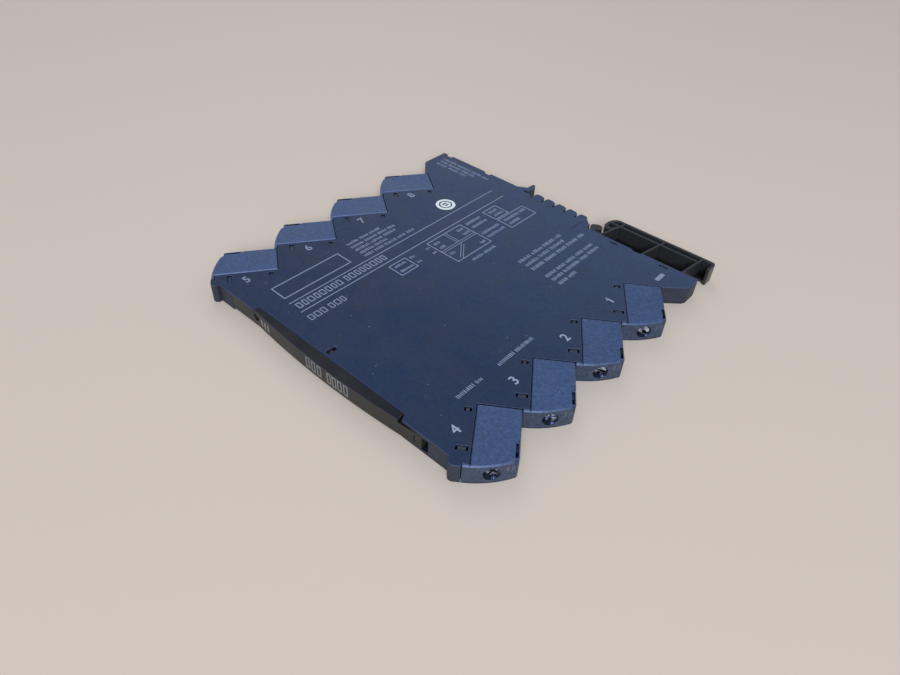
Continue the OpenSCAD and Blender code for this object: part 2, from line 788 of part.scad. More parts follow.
module foot_latch() {
    floor_z = latch_z0 + latch_floor;
    sill_z = case_z + web_h / 2;
    color(latch_colour) {
        difference() {
            layer(latch_z0, latch_z1) latch_plan();
            layer(floor_z, latch_z1 + 1) latch_pockets(latch_y0 + latch_wall);
            layer(sill_z, latch_z1 + 1) latch_pockets(latch_y0 - 1);
        }
        layer(latch_z0, latch_z1) latch_spring();
        // rail that slides in the channel of the housing
        translate([bead_x0, bead_y0 + 0.5, case_z - web_h / 2])
            cube([bead_x1 - bead_x0, latch_y0 - bead_y0 - 0.5 + eps, web_h]);
        translate([bead_x0, bead_y0, case_z - bead_h / 2]) cube([bead_x1 - bead_x0, bead_t, bead_h]);
    }
}

// Electronics

// The stepped edge of the board, which stops short of the front post
function board_steps() = concat(
    [spot(0, -board_gap - 2, block_l - 5.5), spot(0, -board_gap, block_l - 7)],
    [for (i = [3 : 4 * rows - 1]) steps(board_gap)[i]]);

module board_plan() {
    difference() {
        polygon(concat(
            [[-cover_left + 3, board_front], [cover_right + 1, board_front]], board_steps(),
            [[tail_x - 9, board_rear - 3], [tail_x - 12, board_rear], [slope_x - 0.5, board_rear],
             [slope_x - 2.5, board_rear_at_fins], [-tail_x + 12, board_rear_at_fins],
             [-tail_x + 6, board_rear - 3]],
            reverse([for (p = board_steps()) flip(p)])));
        for (p = pegs) translate(p) circle(peg_r + 0.3);
        for (n = [1 : 2 * rows])
            mirror([side_of(n) < 0 ? 1 : 0, 0])
                translate([row_x, row_y + step_of(n) * row_pitch]) rotate(row_angle)
                    translate([-bar_tail - 0.1, -bar_top - 0.1]) square([leg_w + 0.2, bar_t + 0.2]);
    }
}

module circuit_board() {
    color("#1f5b3a") layer(board_z, board_top) board_plan();
}

module status_lamp() {
    color("#d8e8c8")
        translate([-lamp_x - 0.8, cut_y + wall_t + 0.6, board_top + 0.02])
            cube([1.6, 1.2, guide_z - board_top + 0.6]);
}

core_pos = [-14, row_y + 47.6];
ferrite_h = core_z1 - board_top - 0.2;
ferrite_z = board_top + 0.05 + ferrite_h / 2;
yoke_w = 1.4;
middle_w = 2.0;
middle_h = 1.0;
coil_room = core_w - 2 * yoke_w;
bobbin_t = 0.3;
coil_t = 0.45;
coil_fit = 0.05;

// A beam that lies along Y through the middle of the core
module core_beam(w, h, l) {
    cube([w, l, h], center = true);
}

module transformer_core() {
    color("#2b2b2e") translate([core_pos[0], core_pos[1], ferrite_z]) difference() {
        core_beam(core_l, ferrite_h, core_w);
        difference() {
            core_beam(core_l - 2 * yoke_w, ferrite_h + 1, coil_room);
            core_beam(middle_w, middle_h, coil_room + 1);
        }
    }
}

// A tube round the core's middle leg with a flange at each end
module transformer_bobbin() {
    w = middle_w + 2 * (bobbin_t + coil_fit);
    h = middle_h + 2 * (bobbin_t + coil_fit);
    l = coil_room - 0.2;
    color("#e8e2cf") translate([core_pos[0], core_pos[1], ferrite_z]) difference() {
        union() {
            core_beam(w, h, l);
            for (s = [-1, 1])
                translate([0, s * (l - bobbin_t) / 2, 0])
                    core_beam(w + 2 * coil_t, h + 2 * coil_t, bobbin_t);
        }
        core_beam(middle_w + 2 * coil_fit, middle_h + 2 * coil_fit, l + 1);
    }
}

module transformer_winding() {
    w = middle_w + 2 * (bobbin_t + 2 * coil_fit);
    h = middle_h + 2 * (bobbin_t + 2 * coil_fit);
    l = coil_room - 0.2 - 2 * bobbin_t - 0.1;
    color("#b5702c") translate([core_pos[0], core_pos[1], ferrite_z]) difference() {
        core_beam(w + 2 * (coil_t - coil_fit), h + 2 * (coil_t - coil_fit), l);
        core_beam(w, h, l + 1);
    }
}

lead_pitch = 1.27;

// A chip with its body's size and the number of leads on each side
module chip(pos, size, leads) {
    z0 = board_top + 0.1;
    color("#26262a") translate([pos[0], pos[1], z0 + size[2] / 2]) cube(size, center = true);
    color(steel_colour) for (s = [-1, 1], i = [0 : leads - 1]) {
        lead_y = (i - (leads - 1) / 2) * lead_pitch;
        translate([pos[0] + s * (size[0] / 2 + 0.3), pos[1] + lead_y, z0 + 0.17])
            cube([0.7, 0.45, 0.5], center = true);
    }
}

module capacitor(pos) {
    color("#c9a13a") translate([pos[0] - 3.6, pos[1] - 2.1, board_top + 0.02]) cube([7.2, 4.2, 2.6]);
}

module input_chip() { chip([14, row_y + 21.6], [3.9, 8.6, 1.5], 6); }
module output_chip() { chip([-18, row_y + 17.6], [3.9, 8.6, 1.5], 6); }
module supply_chip() { chip([8, row_y + 61.6], [3.9, 4.9, 1.5], 4); }
module storage_capacitor_1() { capacitor([18, row_y + 43.6]); }
module storage_capacitor_2() { capacitor([-16, row_y + 65.6]); }

module filter_inductor() {
    color("#3a3a3e") translate([2, row_y + 3.6, board_top + 0.02]) {
        cylinder(r = 3.6, h = 0.6);
        cylinder(r = 2.2, h = 2.6);
        translate([0, 0, 2.2]) cylinder(r = 3.6, h = 0.6);
    }
}

housing_tray();
side_cover();
front_cover();
light_guide();
foot_latch();
for (n = [1 : 2 * rows]) {
    terminal_block(n);
    terminal_screw(n);
    clamp_cage(n);
    contact_bar(n);
}
for (i = [1 : fins])
    rail_contact(i);
circuit_board();
status_lamp();
transformer_core();
transformer_bobbin();
transformer_winding();
input_chip();
output_chip();
supply_chip();
storage_capacitor_1();
storage_capacitor_2();
filter_inductor();
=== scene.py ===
# %% [markdown]
# # A slim signal conditioner for a mounting rail
# The real object is a flat plastic housing, 6.1 mm thick, that lies on its side. Eight slanted terminal
# blocks form two rows of steps, a curved cover closes the front, and a sliding foot holds it on a 35 mm
# rail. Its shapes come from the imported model, which is loaded here and isn't changed. The script adds the
# softened edges, the surfaces, the print, some small trim and the light. Each note says what a thing is on
# the real object, how it could be made in Blender, and why one way was chosen.

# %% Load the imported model
import math
import random
from types import SimpleNamespace

import bmesh
import bpy
from mathutils import Matrix, Vector


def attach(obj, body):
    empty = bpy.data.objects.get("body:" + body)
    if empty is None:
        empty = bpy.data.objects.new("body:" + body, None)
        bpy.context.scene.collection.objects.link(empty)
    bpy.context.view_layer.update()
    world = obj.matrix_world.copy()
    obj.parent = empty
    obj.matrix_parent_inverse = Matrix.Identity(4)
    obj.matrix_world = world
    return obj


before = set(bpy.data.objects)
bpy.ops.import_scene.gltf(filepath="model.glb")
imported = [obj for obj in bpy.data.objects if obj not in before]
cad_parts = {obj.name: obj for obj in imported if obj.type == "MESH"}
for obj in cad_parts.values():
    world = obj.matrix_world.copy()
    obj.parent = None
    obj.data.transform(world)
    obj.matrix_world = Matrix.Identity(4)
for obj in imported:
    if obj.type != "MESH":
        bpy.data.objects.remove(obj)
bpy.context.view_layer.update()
scene = bpy.context.scene
MM = 0.001

# %% [markdown]
# ## The camera
# A photograph fixes where its camera stood. The camera could be moved by hand until the picture looks right,
# but a flat object shows every small error in its corners. So the place, the direction and the lens below
# were worked out from corners of the housing whose real positions are known, and the model falls on the
# photograph.

# %% Camera
LENS_MM = 27.22
SENSOR_MM = 36.0
EYE_MM = (104.549, -129.998, 127.417)
CAMERA_ACROSS = (0.74302, 0.66810, 0.03958)
CAMERA_UP = (-0.46930, 0.47794, 0.74251)


def make_camera():
    data = bpy.data.cameras.new("camera")
    data.lens = LENS_MM
    data.sensor_width = SENSOR_MM
    data.clip_start = 0.01
    camera = bpy.data.objects.new("camera", data)
    scene.collection.objects.link(camera)
    across = Vector(CAMERA_ACROSS).normalized()
    back = across.cross(Vector(CAMERA_UP)).normalized()
    turn = Matrix((across, back.cross(across), back)).transposed().to_4x4()
    camera.matrix_world = Matrix.Translation(Vector(EYE_MM) * MM) @ turn
    scene.camera = camera


make_camera()
print("camera at", [round(v, 4) for v in scene.camera.location])

# %% [markdown]
# ## Colour and nodes
# Colours are noted as sRGB hex values, the way a colour chart gives them, and Blender's shaders want
# linear light, so one function turns them. Another one adds a node with its settings and links, which
# keeps each material short enough to read as a recipe. Two small ones link sockets and start a material.


# %% Helpers for colour and nodes
def linear(hex_colour):
    parts = [int(hex_colour[i : i + 2], 16) / 255 for i in (1, 3, 5)]
    return tuple(c / 12.92 if c <= 0.04045 else ((c + 0.055) / 1.055) ** 2.4 for c in parts) + (1.0,)


def connect(tree, node, links):
    """Links outputs to a node's sockets. A node given in place of an output means its first one in use."""
    for socket, source in links.items():
        if isinstance(source, bpy.types.Node):
            source = next(output for output in source.outputs if output.enabled)
        tree.links.new(source, node.inputs[socket])


def add(tree, kind, values=None, links=None, **settings):
    """Adds one node: settings are its choices, values fill its sockets, links feed them."""
    node = tree.nodes.new(kind)
    for name, value in settings.items():
        setattr(node, name, value)
    for socket, value in (values or {}).items():
        node.inputs[socket].default_value = value
    connect(tree, node, links or {})
    return node


def new_material(name, colour, roughness, **shader_values):
    """Starts a material. A shader value is named for its socket, such as Specular_Tint."""
    material = bpy.data.materials.new(name)
    material.use_nodes = True
    material.diffuse_color = linear(colour)
    shader = material.node_tree.nodes["Principled BSDF"]
    shader.inputs["Base Color"].default_value = linear(colour)
    shader.inputs["Roughness"].default_value = roughness
    for socket, value in shader_values.items():
        shader.inputs[socket.replace("_", " ")].default_value = value
    return material, material.node_tree, shader


print("black is", linear("#000000"), "white is", linear("#ffffff"))

# %% [markdown]
# ## Moulded polyamide
# Housing, blocks, cover and foot are moulded in glass-filled polyamide, a nylon that is nearly black. What
# the eye meets is mostly what lies on it and how it takes the light: a thin film of dust on the side that
# faces up, in which the cool light from above shows as a blue-grey painted reflection, pale specks, edges
# with a painted highlight and hollows with painted shade. All that could be painted on a picture and wrapped
# round each mesh. Masks that ask a surface where it lies and which way it faces need no unwrapping and stay
# sharp at any distance, so the recipe is a chain of masks. First come the ones that every plastic shares.

# %% Masks that every plastic shares
STAIN_APART_MM = 9
UPPER_FROM_MM, UPPER_FULL_MM = 5.86, 5.96


def surface_masks(tree, mottle_mm):
    """The surface's place, a slow and a fast noise, and masks of what turns up, lies high or lies left."""
    place = add(tree, "ShaderNodeTexCoord").outputs
    slow = add(tree, "ShaderNodeTexNoise",
               {"Scale": 1 / (STAIN_APART_MM * MM), "Detail": 5.0, "Roughness": 0.62},
               {"Vector": place["Object"]})
    patch = add(tree, "ShaderNodeTexNoise",
                {"Scale": 1 / (mottle_mm * MM), "Detail": 6.0, "Roughness": 0.7},
                {"Vector": place["Object"]})
    at = add(tree, "ShaderNodeSeparateXYZ", None, {"Vector": place["Object"]}).outputs
    facing = add(tree, "ShaderNodeSeparateXYZ", None, {"Vector": place["Normal"]}).outputs
    turned_up = add(tree, "ShaderNodeMapRange", {"From Min": 0.55, "From Max": 0.98}, {"Value": facing["Z"]})
    high = add(tree, "ShaderNodeMapRange", {"From Min": UPPER_FROM_MM * MM, "From Max": UPPER_FULL_MM * MM},
               {"Value": at["Z"]})
    upper_side = add(tree, "ShaderNodeMath", None, {0: turned_up, 1: high}, operation="MULTIPLY")
    left_half = add(tree, "ShaderNodeMapRange", {"From Min": 1 * MM, "From Max": -1 * MM}, {"Value": at["X"]})
    return SimpleNamespace(place=place["Object"], at=at, slow=slow, patch=patch, turned_up=turned_up,
                           upper_side=upper_side, left_half=left_half)


print("film from", UPPER_FROM_MM, "to", UPPER_FULL_MM, "mm")

# %% [markdown]
# ### Film, painted light and specks
# Dust and skin grease settle on the upper side in a film that is thicker in some places than in others.
# The cool light from above mirrors in it, and that reflection is painted into the same colour: a blue-grey
# that turns greyer towards the rail as a painted sheen, where the light grazes it. A second thin shader
# layer would be the true build, but from where anyone looks it reads as a colour, so one colour is mixed
# over the other. The specks are the middles of the cells of a Voronoi pattern.

# %% Film, painted light and specks
FRONT_MM, BACK_MM = -30, 45
SPECK_APART_MM = 3.2
SPECK_COLOUR = "#b9c3d4"


def dusty_colour(tree, masks, body, cloud, film_and_painted_light, far_film_and_painted_light, film_and_light_share, specks):
    """The moulded colour, with its uneven film of dust and painted light, and its specks on the upper side.
    """
    plastic = add(tree, "ShaderNodeMix", {"A": linear(body), "B": linear(cloud)}, {"Factor": masks.patch},
                  data_type="RGBA")
    # Painted sheen: towards the rail the film's colour turns a greyer blue, where the light grazes it.
    painted_sheen_towards_rail = add(tree, "ShaderNodeMapRange", {"From Min": FRONT_MM * MM, "From Max": BACK_MM * MM},
                       {"Value": masks.at["Y"]})
    dust_and_painted_light = add(tree, "ShaderNodeMix", {"A": linear(film_and_painted_light), "B": linear(far_film_and_painted_light)}, {"Factor": painted_sheen_towards_rail},
               data_type="RGBA")
    uneven = add(tree, "ShaderNodeMapRange",
                 {"From Min": 0.3, "From Max": 0.7, "To Min": 0.75, "To Max": 1.2}, {"Value": masks.slow})
    share = add(tree, "ShaderNodeMath", None, {0: masks.upper_side, 1: uneven}, operation="MULTIPLY")
    share = add(tree, "ShaderNodeMath", {1: film_and_light_share}, {0: share}, operation="MULTIPLY")
    with_film_and_light = add(tree, "ShaderNodeMix", None, {"A": plastic, "B": dust_and_painted_light, "Factor": share}, data_type="RGBA")
    cells = add(tree, "ShaderNodeTexVoronoi", {"Scale": 1 / (SPECK_APART_MM * MM)}, {"Vector": masks.place})
    speck = add(tree, "ShaderNodeMapRange", {"From Min": 0.045, "From Max": 0.02, "To Max": specks},
                {"Value": cells})
    speck = add(tree, "ShaderNodeMath", None, {0: speck, 1: masks.upper_side}, operation="MULTIPLY")
    return add(tree, "ShaderNodeMix", {"B": linear(SPECK_COLOUR)}, {"A": with_film_and_light, "Factor": speck},
               data_type="RGBA")


print("specks about", SPECK_APART_MM, "mm apart")

# %% [markdown]
# ### Rounded edges with a painted highlight
# A moulded edge has a radius of a few tenths of a millimetre, hands rub it smooth, and its curve catches
# the light. The meshes get a narrow bevel further down. The rest of the curve is only shading: the Bevel
# node rounds the normal, which costs no faces. Where that rounded normal leans between level and upright
# there is an edge, so the same node also finds the edges to paint: they get a pale painted highlight, with
# a share of its own on the half with terminals 5 to 8, and a lower roughness for the rubbing.

# %% Rounded edges and painted edge highlights
# Pale blue of the painted highlight on the edges.
EDGE_HIGHLIGHT_COLOUR = "#6c7fae"
RIM_FROM_MM, RIM_FULL_MM = 5.0, 5.5


def rounded_edges(tree, masks, edge_mm):
    """A rounded normal, and a mask of the edges round the upper side."""
    rounded = add(tree, "ShaderNodeBevel", {"Radius": edge_mm * MM}, samples=6)
    lean = add(tree, "ShaderNodeSeparateXYZ", None, {"Vector": rounded}).outputs["Z"]
    above_wall = add(tree, "ShaderNodeMapRange", {"From Min": 0.3, "From Max": 0.5}, {"Value": lean})
    below_level = add(tree, "ShaderNodeMapRange", {"From Min": 0.97, "From Max": 0.88}, {"Value": lean})
    leaning = add(tree, "ShaderNodeMath", None, {0: above_wall, 1: below_level}, operation="MULTIPLY")
    near_rim = add(tree, "ShaderNodeMapRange", {"From Min": RIM_FROM_MM * MM, "From Max": RIM_FULL_MM * MM},
                   {"Value": masks.at["Z"]})
    return rounded, add(tree, "ShaderNodeMath", None, {0: leaning, 1: near_rim}, operation="MULTIPLY")


def rub_edges(tree, masks, colour, edges, highlight_and_rub, left_highlight):
    """Paints a pale highlight on the edges, by a share of its own on the half with terminals 5 to 8."""
    share = add(tree, "ShaderNodeMapRange", {"To Min": highlight_and_rub, "To Max": left_highlight}, {"Value": masks.left_half})
    share = add(tree, "ShaderNodeMath", None, {0: edges, 1: share}, operation="MULTIPLY")
    return add(tree, "ShaderNodeMix", {"B": linear(EDGE_HIGHLIGHT_COLOUR)}, {"A": colour, "Factor": share},
               data_type="RGBA")


print("rim from", RIM_FROM_MM, "to", RIM_FULL_MM, "mm")

# %% [markdown]
# ### Painted shade in hollows
# The snap slots and the gaps round the blocks look nearly black, because little light gets in. Rays alone
# leave them a little too pale, as the film's colour with its painted light is mixed for open faces, so shade
# is painted in: ambient occlusion measures how closed in a place is, and what lies level but below the upper
# side is painted darker as well. The slots of the left half get darker painted shade still, so there the
# shade starts a little higher.

# %% Painted shade in hollows
HOLLOW_MM = 1.2
SUNK_FROM_MM, SUNK_TO_MM = 5.6, 5.3
LEFT_SHADE_RAISE_MM = 0.32


def brightness(tree, masks, mottle):
    """How bright each place is: mottled all over, with painted shade where it is sunk or closed in."""
    mottled = add(tree, "ShaderNodeMapRange",
                  {"From Min": 0.35, "From Max": 0.65, "To Min": 1 - mottle, "To Max": 1 + mottle},
                  {"Value": masks.patch})
    # Painted shade on what lies level below the upper side, starting higher on the left half.
    level = add(tree, "ShaderNodeMath", {1: -LEFT_SHADE_RAISE_MM * MM}, {0: masks.left_half, 2: masks.at["Z"]},
                operation="MULTIPLY_ADD")
    sunk_shade = add(tree, "ShaderNodeMapRange",
               {"From Min": SUNK_TO_MM * MM, "From Max": SUNK_FROM_MM * MM, "To Min": 0.3}, {"Value": level})
    sunk_shade = add(tree, "ShaderNodeMix", {"A": 1.0}, {"B": sunk_shade, "Factor": masks.turned_up})
    # Painted shade in hollows, from how closed in each place is.
    closed_in = add(tree, "ShaderNodeAmbientOcclusion", {"Distance": HOLLOW_MM * MM}, samples=6)
    painted_hollow_shade = add(tree, "ShaderNodeMapRange", {"From Min": 0.3, "From Max": 0.75, "To Min": 0.15},
                     {"Value": closed_in.outputs["AO"]})
    shade = add(tree, "ShaderNodeMath", None, {0: mottled, 1: sunk_shade}, operation="MULTIPLY")
    return add(tree, "ShaderNodeMath", None, {0: shade, 1: painted_hollow_shade}, operation="MULTIPLY")


print("hollows up to", HOLLOW_MM, "mm wide are dark")

# %% [markdown]
# ### The plastics
# The mould decides the surface. The housing's mould is spark-eroded, which gives a fine, even grain; the
# blocks come from a rougher one, the cover from a smoother one, and the foot is nearly polished. One recipe
# with other values keeps them a family, as they are on the real unit. Real grain is 0.03 to 0.1 mm wide and
# would vanish in the picture, so it is drawn 0.3 to 0.45 mm wide.

# %% The recipe for moulded plastic
POLYAMIDE_IOR = 1.53
RUB_SMOOTHS = 0.35


def moulded_polyamide(name, body, cloud, film_and_painted_light, far_film_and_painted_light, film_and_light_share, specks, mottle_mm, mottle, grain_mm,
                      relief_mm, roughness, level, tint, edge_mm, highlight_and_rub, left_highlight):
    """Builds one plastic. Its edges get a painted highlight and a lower roughness, with a highlight of its
    own on the half with terminals 5 to 8.
    """
    material, tree, shader = new_material(name, body, roughness, IOR=POLYAMIDE_IOR, Specular_IOR_Level=level,
                                          Specular_Tint=linear(tint))
    masks = surface_masks(tree, mottle_mm)
    rounded, edges = rounded_edges(tree, masks, edge_mm)
    colour = dusty_colour(tree, masks, body, cloud, film_and_painted_light, far_film_and_painted_light, film_and_light_share, specks)
    colour = rub_edges(tree, masks, colour, edges, highlight_and_rub, left_highlight)
    colour = add(tree, "ShaderNodeHueSaturation", None,
                 {"Color": colour, "Value": brightness(tree, masks, mottle)})
    stained = add(tree, "ShaderNodeMapRange",
                  {"From Min": 0.3, "From Max": 0.7, "To Min": roughness - 0.06, "To Max": roughness + 0.08},
                  {"Value": masks.slow})
    rough = add(tree, "ShaderNodeMath", {1: -RUB_SMOOTHS * highlight_and_rub}, {0: edges, 2: stained},
                operation="MULTIPLY_ADD")
    grain = add(tree, "ShaderNodeTexNoise", {"Scale": 1 / (grain_mm * MM), "Detail": 3.0, "Roughness": 0.6},
                {"Vector": masks.place})
    bump = add(tree, "ShaderNodeBump", {"Strength": 0.6, "Distance": relief_mm * MM},
               {"Height": grain, "Normal": rounded})
    connect(tree, shader, {"Base Color": colour, "Roughness": rough, "Normal": bump})
    return material


# %% Plastics of the housing, the blocks, the cover and the foot
# Matt and even: the fine grain scatters the light, and the film of dust with its painted sky reflection makes
# it a deep blue-grey, greyer towards the rail as painted sheen; its edges get a painted highlight.
housing_plastic = moulded_polyamide(
    "spark-eroded glass-filled polyamide", body="#30343d", cloud="#373b45", film_and_painted_light="#273754",
    far_film_and_painted_light="#3e4e6d", film_and_light_share=0.85, specks=0.7, mottle_mm=1.1, mottle=0.12, grain_mm=0.35,
    relief_mm=0.012, roughness=0.5, level=0.22, tint="#b8ccff", edge_mm=0.32, highlight_and_rub=0.46, left_highlight=0.46)
# Rougher and bluer: the coarse grain sparkles a little, holds more dust and looks cloudy. Its painted sky
# reflection is bluer, and its edges get a painted highlight, strongest on the half with terminals 5 to 8.
block_plastic = moulded_polyamide(
    "coarse-grained polyamide of the blocks", body="#313a4a", cloud="#3f485d", film_and_painted_light="#415882",
    far_film_and_painted_light="#415882", film_and_light_share=0.85, specks=0.5, mottle_mm=0.9, mottle=0.26, grain_mm=0.45,
    relief_mm=0.045, roughness=0.42, level=0.34, tint="#c4d4ff", edge_mm=0.16, highlight_and_rub=0.24, left_highlight=0.6)
# Smooth and warm: it gets no blue painted sky reflection, so its front is a brownish black, and the
# colour mixed on its top is nearly black.
cover_plastic = moulded_polyamide(
    "smooth polyamide of the cover", body="#2a2a27", cloud="#31312c", film_and_painted_light="#0a0f1b", far_film_and_painted_light="#0a0f1b",
    film_and_light_share=0.95, specks=0.2, mottle_mm=1.1, mottle=0.12, grain_mm=0.3, relief_mm=0.008, roughness=0.42,
    level=0.3, tint="#e0e4f0", edge_mm=0.16, highlight_and_rub=0.35, left_highlight=0.35)
# Half polished: the ribs of the foot show soft highlights along their edges, partly from its gloss and
# partly painted, and a weaker painted sky reflection lies on its top.
latch_plastic = moulded_polyamide(
    "polished polyamide of the foot", body="#262a31", cloud="#302d2a", film_and_painted_light="#343d50", far_film_and_painted_light="#343d50",
    film_and_light_share=0.6, specks=0.3, mottle_mm=1.1, mottle=0.12, grain_mm=0.3, relief_mm=0.006, roughness=0.34,
    level=0.45, tint="#dfe4f4", edge_mm=0.13, highlight_and_rub=0.45, left_highlight=0.45)
print("plastics", [m.name for m in (housing_plastic, block_plastic, cover_plastic, latch_plastic)])

# %% [markdown]
# ## Metals
# Screws and cages are steel with a zinc plating, bars and contacts are tinned copper, and the transformer
# is wound with enamelled wire. A metal gets its look from what it reflects, and a flat colour under soft
# light reflects too little. So slow dents bend the reflections, fine marks stand for those of the tools,
# and a stain makes both the colour and the gloss uneven. Real tool marks lie a few hundredths of a
# millimetre apart, which wouldn't show, so they are drawn 0.12 to 0.3 mm apart.

# %% Metal finishes
STAIN_MM = 1.5
STAIN_MIDDLE = 0.49


def coated_metal(name, pale, dark, roughness, mark_mm, dent_mm=0.02, spread=0.5):
    """A metal under a thin coat. A small spread makes the pale and the dark parts meet sharply, so that they
    become painted reflections.
    """
    material, tree, shader = new_material(name, pale, roughness, Metallic=1.0)
    place = add(tree, "ShaderNodeTexCoord").outputs["Object"]
    marks = add(tree, "ShaderNodeTexNoise", {"Scale": 1 / (mark_mm * MM), "Detail": 2.0}, {"Vector": place})
    stain_and_painted_glints = add(tree, "ShaderNodeTexNoise", {"Scale": 1 / (STAIN_MM * MM), "Detail": 4.0}, {"Vector": place})
    share = add(tree, "ShaderNodeMapRange",
                {"From Min": STAIN_MIDDLE - spread, "From Max": STAIN_MIDDLE + spread}, {"Value": stain_and_painted_glints})
    colour = add(tree, "ShaderNodeMix", {"A": linear(pale), "B": linear(dark)}, {"Factor": share},
                 data_type="RGBA")
    rough = add(tree, "ShaderNodeMapRange", {"To Min": roughness - 0.08, "To Max": roughness + 0.1},
                {"Value": stain_and_painted_glints})
    dents = add(tree, "ShaderNodeBump", {"Strength": 0.8, "Distance": dent_mm * MM}, {"Height": stain_and_painted_glints})
    bump = add(tree, "ShaderNodeBump", {"Strength": 0.3, "Distance": 0.01 * MM},
               {"Height": marks, "Normal": dents})
    connect(tree, shader, {"Base Color": colour, "Roughness": rough, "Normal": bump})
    return material


# Bright zinc in a dark well: white lobes and black ones, painted into the colour by a sharp stain, as
# painted reflections of the room and of the well.
zinc = coated_metal("zinc-plated steel", "#d0dbfa", "#191d27", 0.16, mark_mm=0.12, dent_mm=0.3, spread=0.08)
# Stamped from plated strip: pale, even and satin.
cage_zinc = coated_metal("zinc-plated steel strip", "#b9bec6", "#9aa0aa", 0.34, mark_mm=0.2)
# Tin that has gone dull: a soft, warm grey.
tinned = coated_metal("dull tinned copper", "#6f6a66", "#58534d", 0.5, mark_mm=0.3)
# Clear enamel over copper: deep orange-brown with a soft gloss.
copper_wire = coated_metal("enamelled copper wire", "#b5683a", "#93502a", 0.3, mark_mm=0.15)
print("metals", [m.name for m in (zinc, cage_zinc, tinned, copper_wire)])

# %% [markdown]
# ## Board and small parts
# What lies inside the closed housing is hardly ever seen, but each part still gets the finish that the real
# one has. These surfaces are small and even, so two close tones in a fine grain, which also makes a shallow
# relief, are enough. A recipe for each would only repeat itself.


# %% Finishes of the electronics
def even_finish(name, colour, tone, roughness, grain_mm, **shader_values):
    """Two close tones in one grain, which is a shallow relief as well."""
    material, tree, shader = new_material(name, colour, roughness, **shader_values)
    place = add(tree, "ShaderNodeTexCoord").outputs["Object"]
    grain = add(tree, "ShaderNodeTexNoise", {"Scale": 1 / (grain_mm * MM), "Detail": 3.0}, {"Vector": place})
    mixed = add(tree, "ShaderNodeMix", {"A": linear(colour), "B": linear(tone)}, {"Factor": grain},
                data_type="RGBA")
    bump = add(tree, "ShaderNodeBump", {"Strength": 0.3, "Distance": 0.01 * MM}, {"Height": grain})
    connect(tree, shader, {"Base Color": mixed, "Normal": bump})
    return material


# Lacquer over woven glass: a clear, sharp gloss on a cloudy green.
board_lacquer = even_finish("green solder mask on glass epoxy", "#1c5236", "#246343", 0.3, 1.2,
                            Coat_Weight=0.4)
# Pressed and fired powder: a dry, dark grey.
ferrite = even_finish("sintered ferrite", "#27272b", "#3a3a3e", 0.6, 0.3)
# Unpainted polyester: a warm ivory.
bobbin_plastic = even_finish("polyester bobbin", "#ddd5be", "#cfc6ab", 0.5, 0.5)
# Filled epoxy: matt black with a fine tooth.
chip_plastic = even_finish("epoxy moulding compound", "#1d1d20", "#2a2a2e", 0.55, 0.2)
# Tinted epoxy: a mustard yellow with a soft gloss.
capacitor_resin = even_finish("moulded epoxy of the capacitors", "#c09a34", "#ae8829", 0.45, 0.6)
# Smoked acrylic: dark red while the lamp is off, and clear enough to look deep.
guide_acrylic = even_finish("smoked acrylic of the light guide", "#2a1714", "#3a201a", 0.12, 0.8, IOR=1.49,
                            Transmission_Weight=0.35)
# Clear resin over the lamp: a milky pale green.
lamp_resin = even_finish("clear resin of the lamp", "#c4ccb8", "#b3bfa6", 0.2, 0.8, IOR=1.5)
print("materials", len(bpy.data.materials))

# %% [markdown]
# ## Softened edges
# No moulded or stamped edge is a knife edge, and the narrow curve along it is what catches the light. The
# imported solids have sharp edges. Remodelling them would lose their exact sizes, so each gets a chain of
# modifiers: weld the shared corners, dissolve the triangles of flat faces, bevel what is still sharp, and
# weight the normals so that flat faces stay flat. Blocks and cages have slots close to their edges, where
# dissolved faces would give the bevel bad corners, so those keep their triangles.

# %% Chain of modifiers
BEVEL_MM = {
    "housing_tray": 0.12, "side_cover": 0.12, "front_cover": 0.15, "light_guide": 0.05, "foot_latch": 0.12,
    "terminal_block": 0.1, "terminal_screw": 0.3, "clamp_cage": 0.04, "contact_bar": 0.08,
    "rail_contact": 0.05, "circuit_board": 0.05, "storage_capacitor": 0.2,
}
KEEP_TRIANGLES = ("terminal_block", "clamp_cage")
SHARP_FROM_DEG = 32


def soften(obj, width_mm, dissolve):
    weld = obj.modifiers.new("weld", "WELD")
    weld.merge_threshold = 0.0005 * MM
    if dissolve:
        flat = obj.modifiers.new("dissolve", "DECIMATE")
        flat.decimate_type = "DISSOLVE"
        flat.angle_limit = math.radians(0.4)
    bevel = obj.modifiers.new("bevel", "BEVEL")
    bevel.width = width_mm * MM
    bevel.segments = 2
    bevel.limit_method = "ANGLE"
    bevel.angle_limit = math.radians(SHARP_FROM_DEG)
    bevel.use_clamp_overlap = True
    even = obj.modifiers.new("normals", "WEIGHTED_NORMAL")
    even.keep_sharp = False


print("kinds with a bevel", len(BEVEL_MM))

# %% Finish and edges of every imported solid
FINISH = {
    "housing_tray": housing_plastic, "side_cover": housing_plastic, "front_cover": cover_plastic,
    "light_guide": guide_acrylic, "foot_latch": latch_plastic, "terminal_block": block_plastic,
    "terminal_screw": zinc, "clamp_cage": cage_zinc, "contact_bar": tinned, "rail_contact": tinned,
    "circuit_board": board_lacquer, "status_lamp": lamp_resin, "transformer_core": ferrite,
    "transformer_bobbin": bobbin_plastic, "transformer_winding": copper_wire, "input_chip": chip_plastic,
    "output_chip": chip_plastic, "supply_chip": chip_plastic, "storage_capacitor": capacitor_resin,
    "filter_inductor": ferrite,
}


def kind_of(node):
    """terminal_block_3 is of the kind terminal_block, and housing_tray is a kind of its own."""
    return node if node in FINISH else node.rsplit("_", 1)[0]


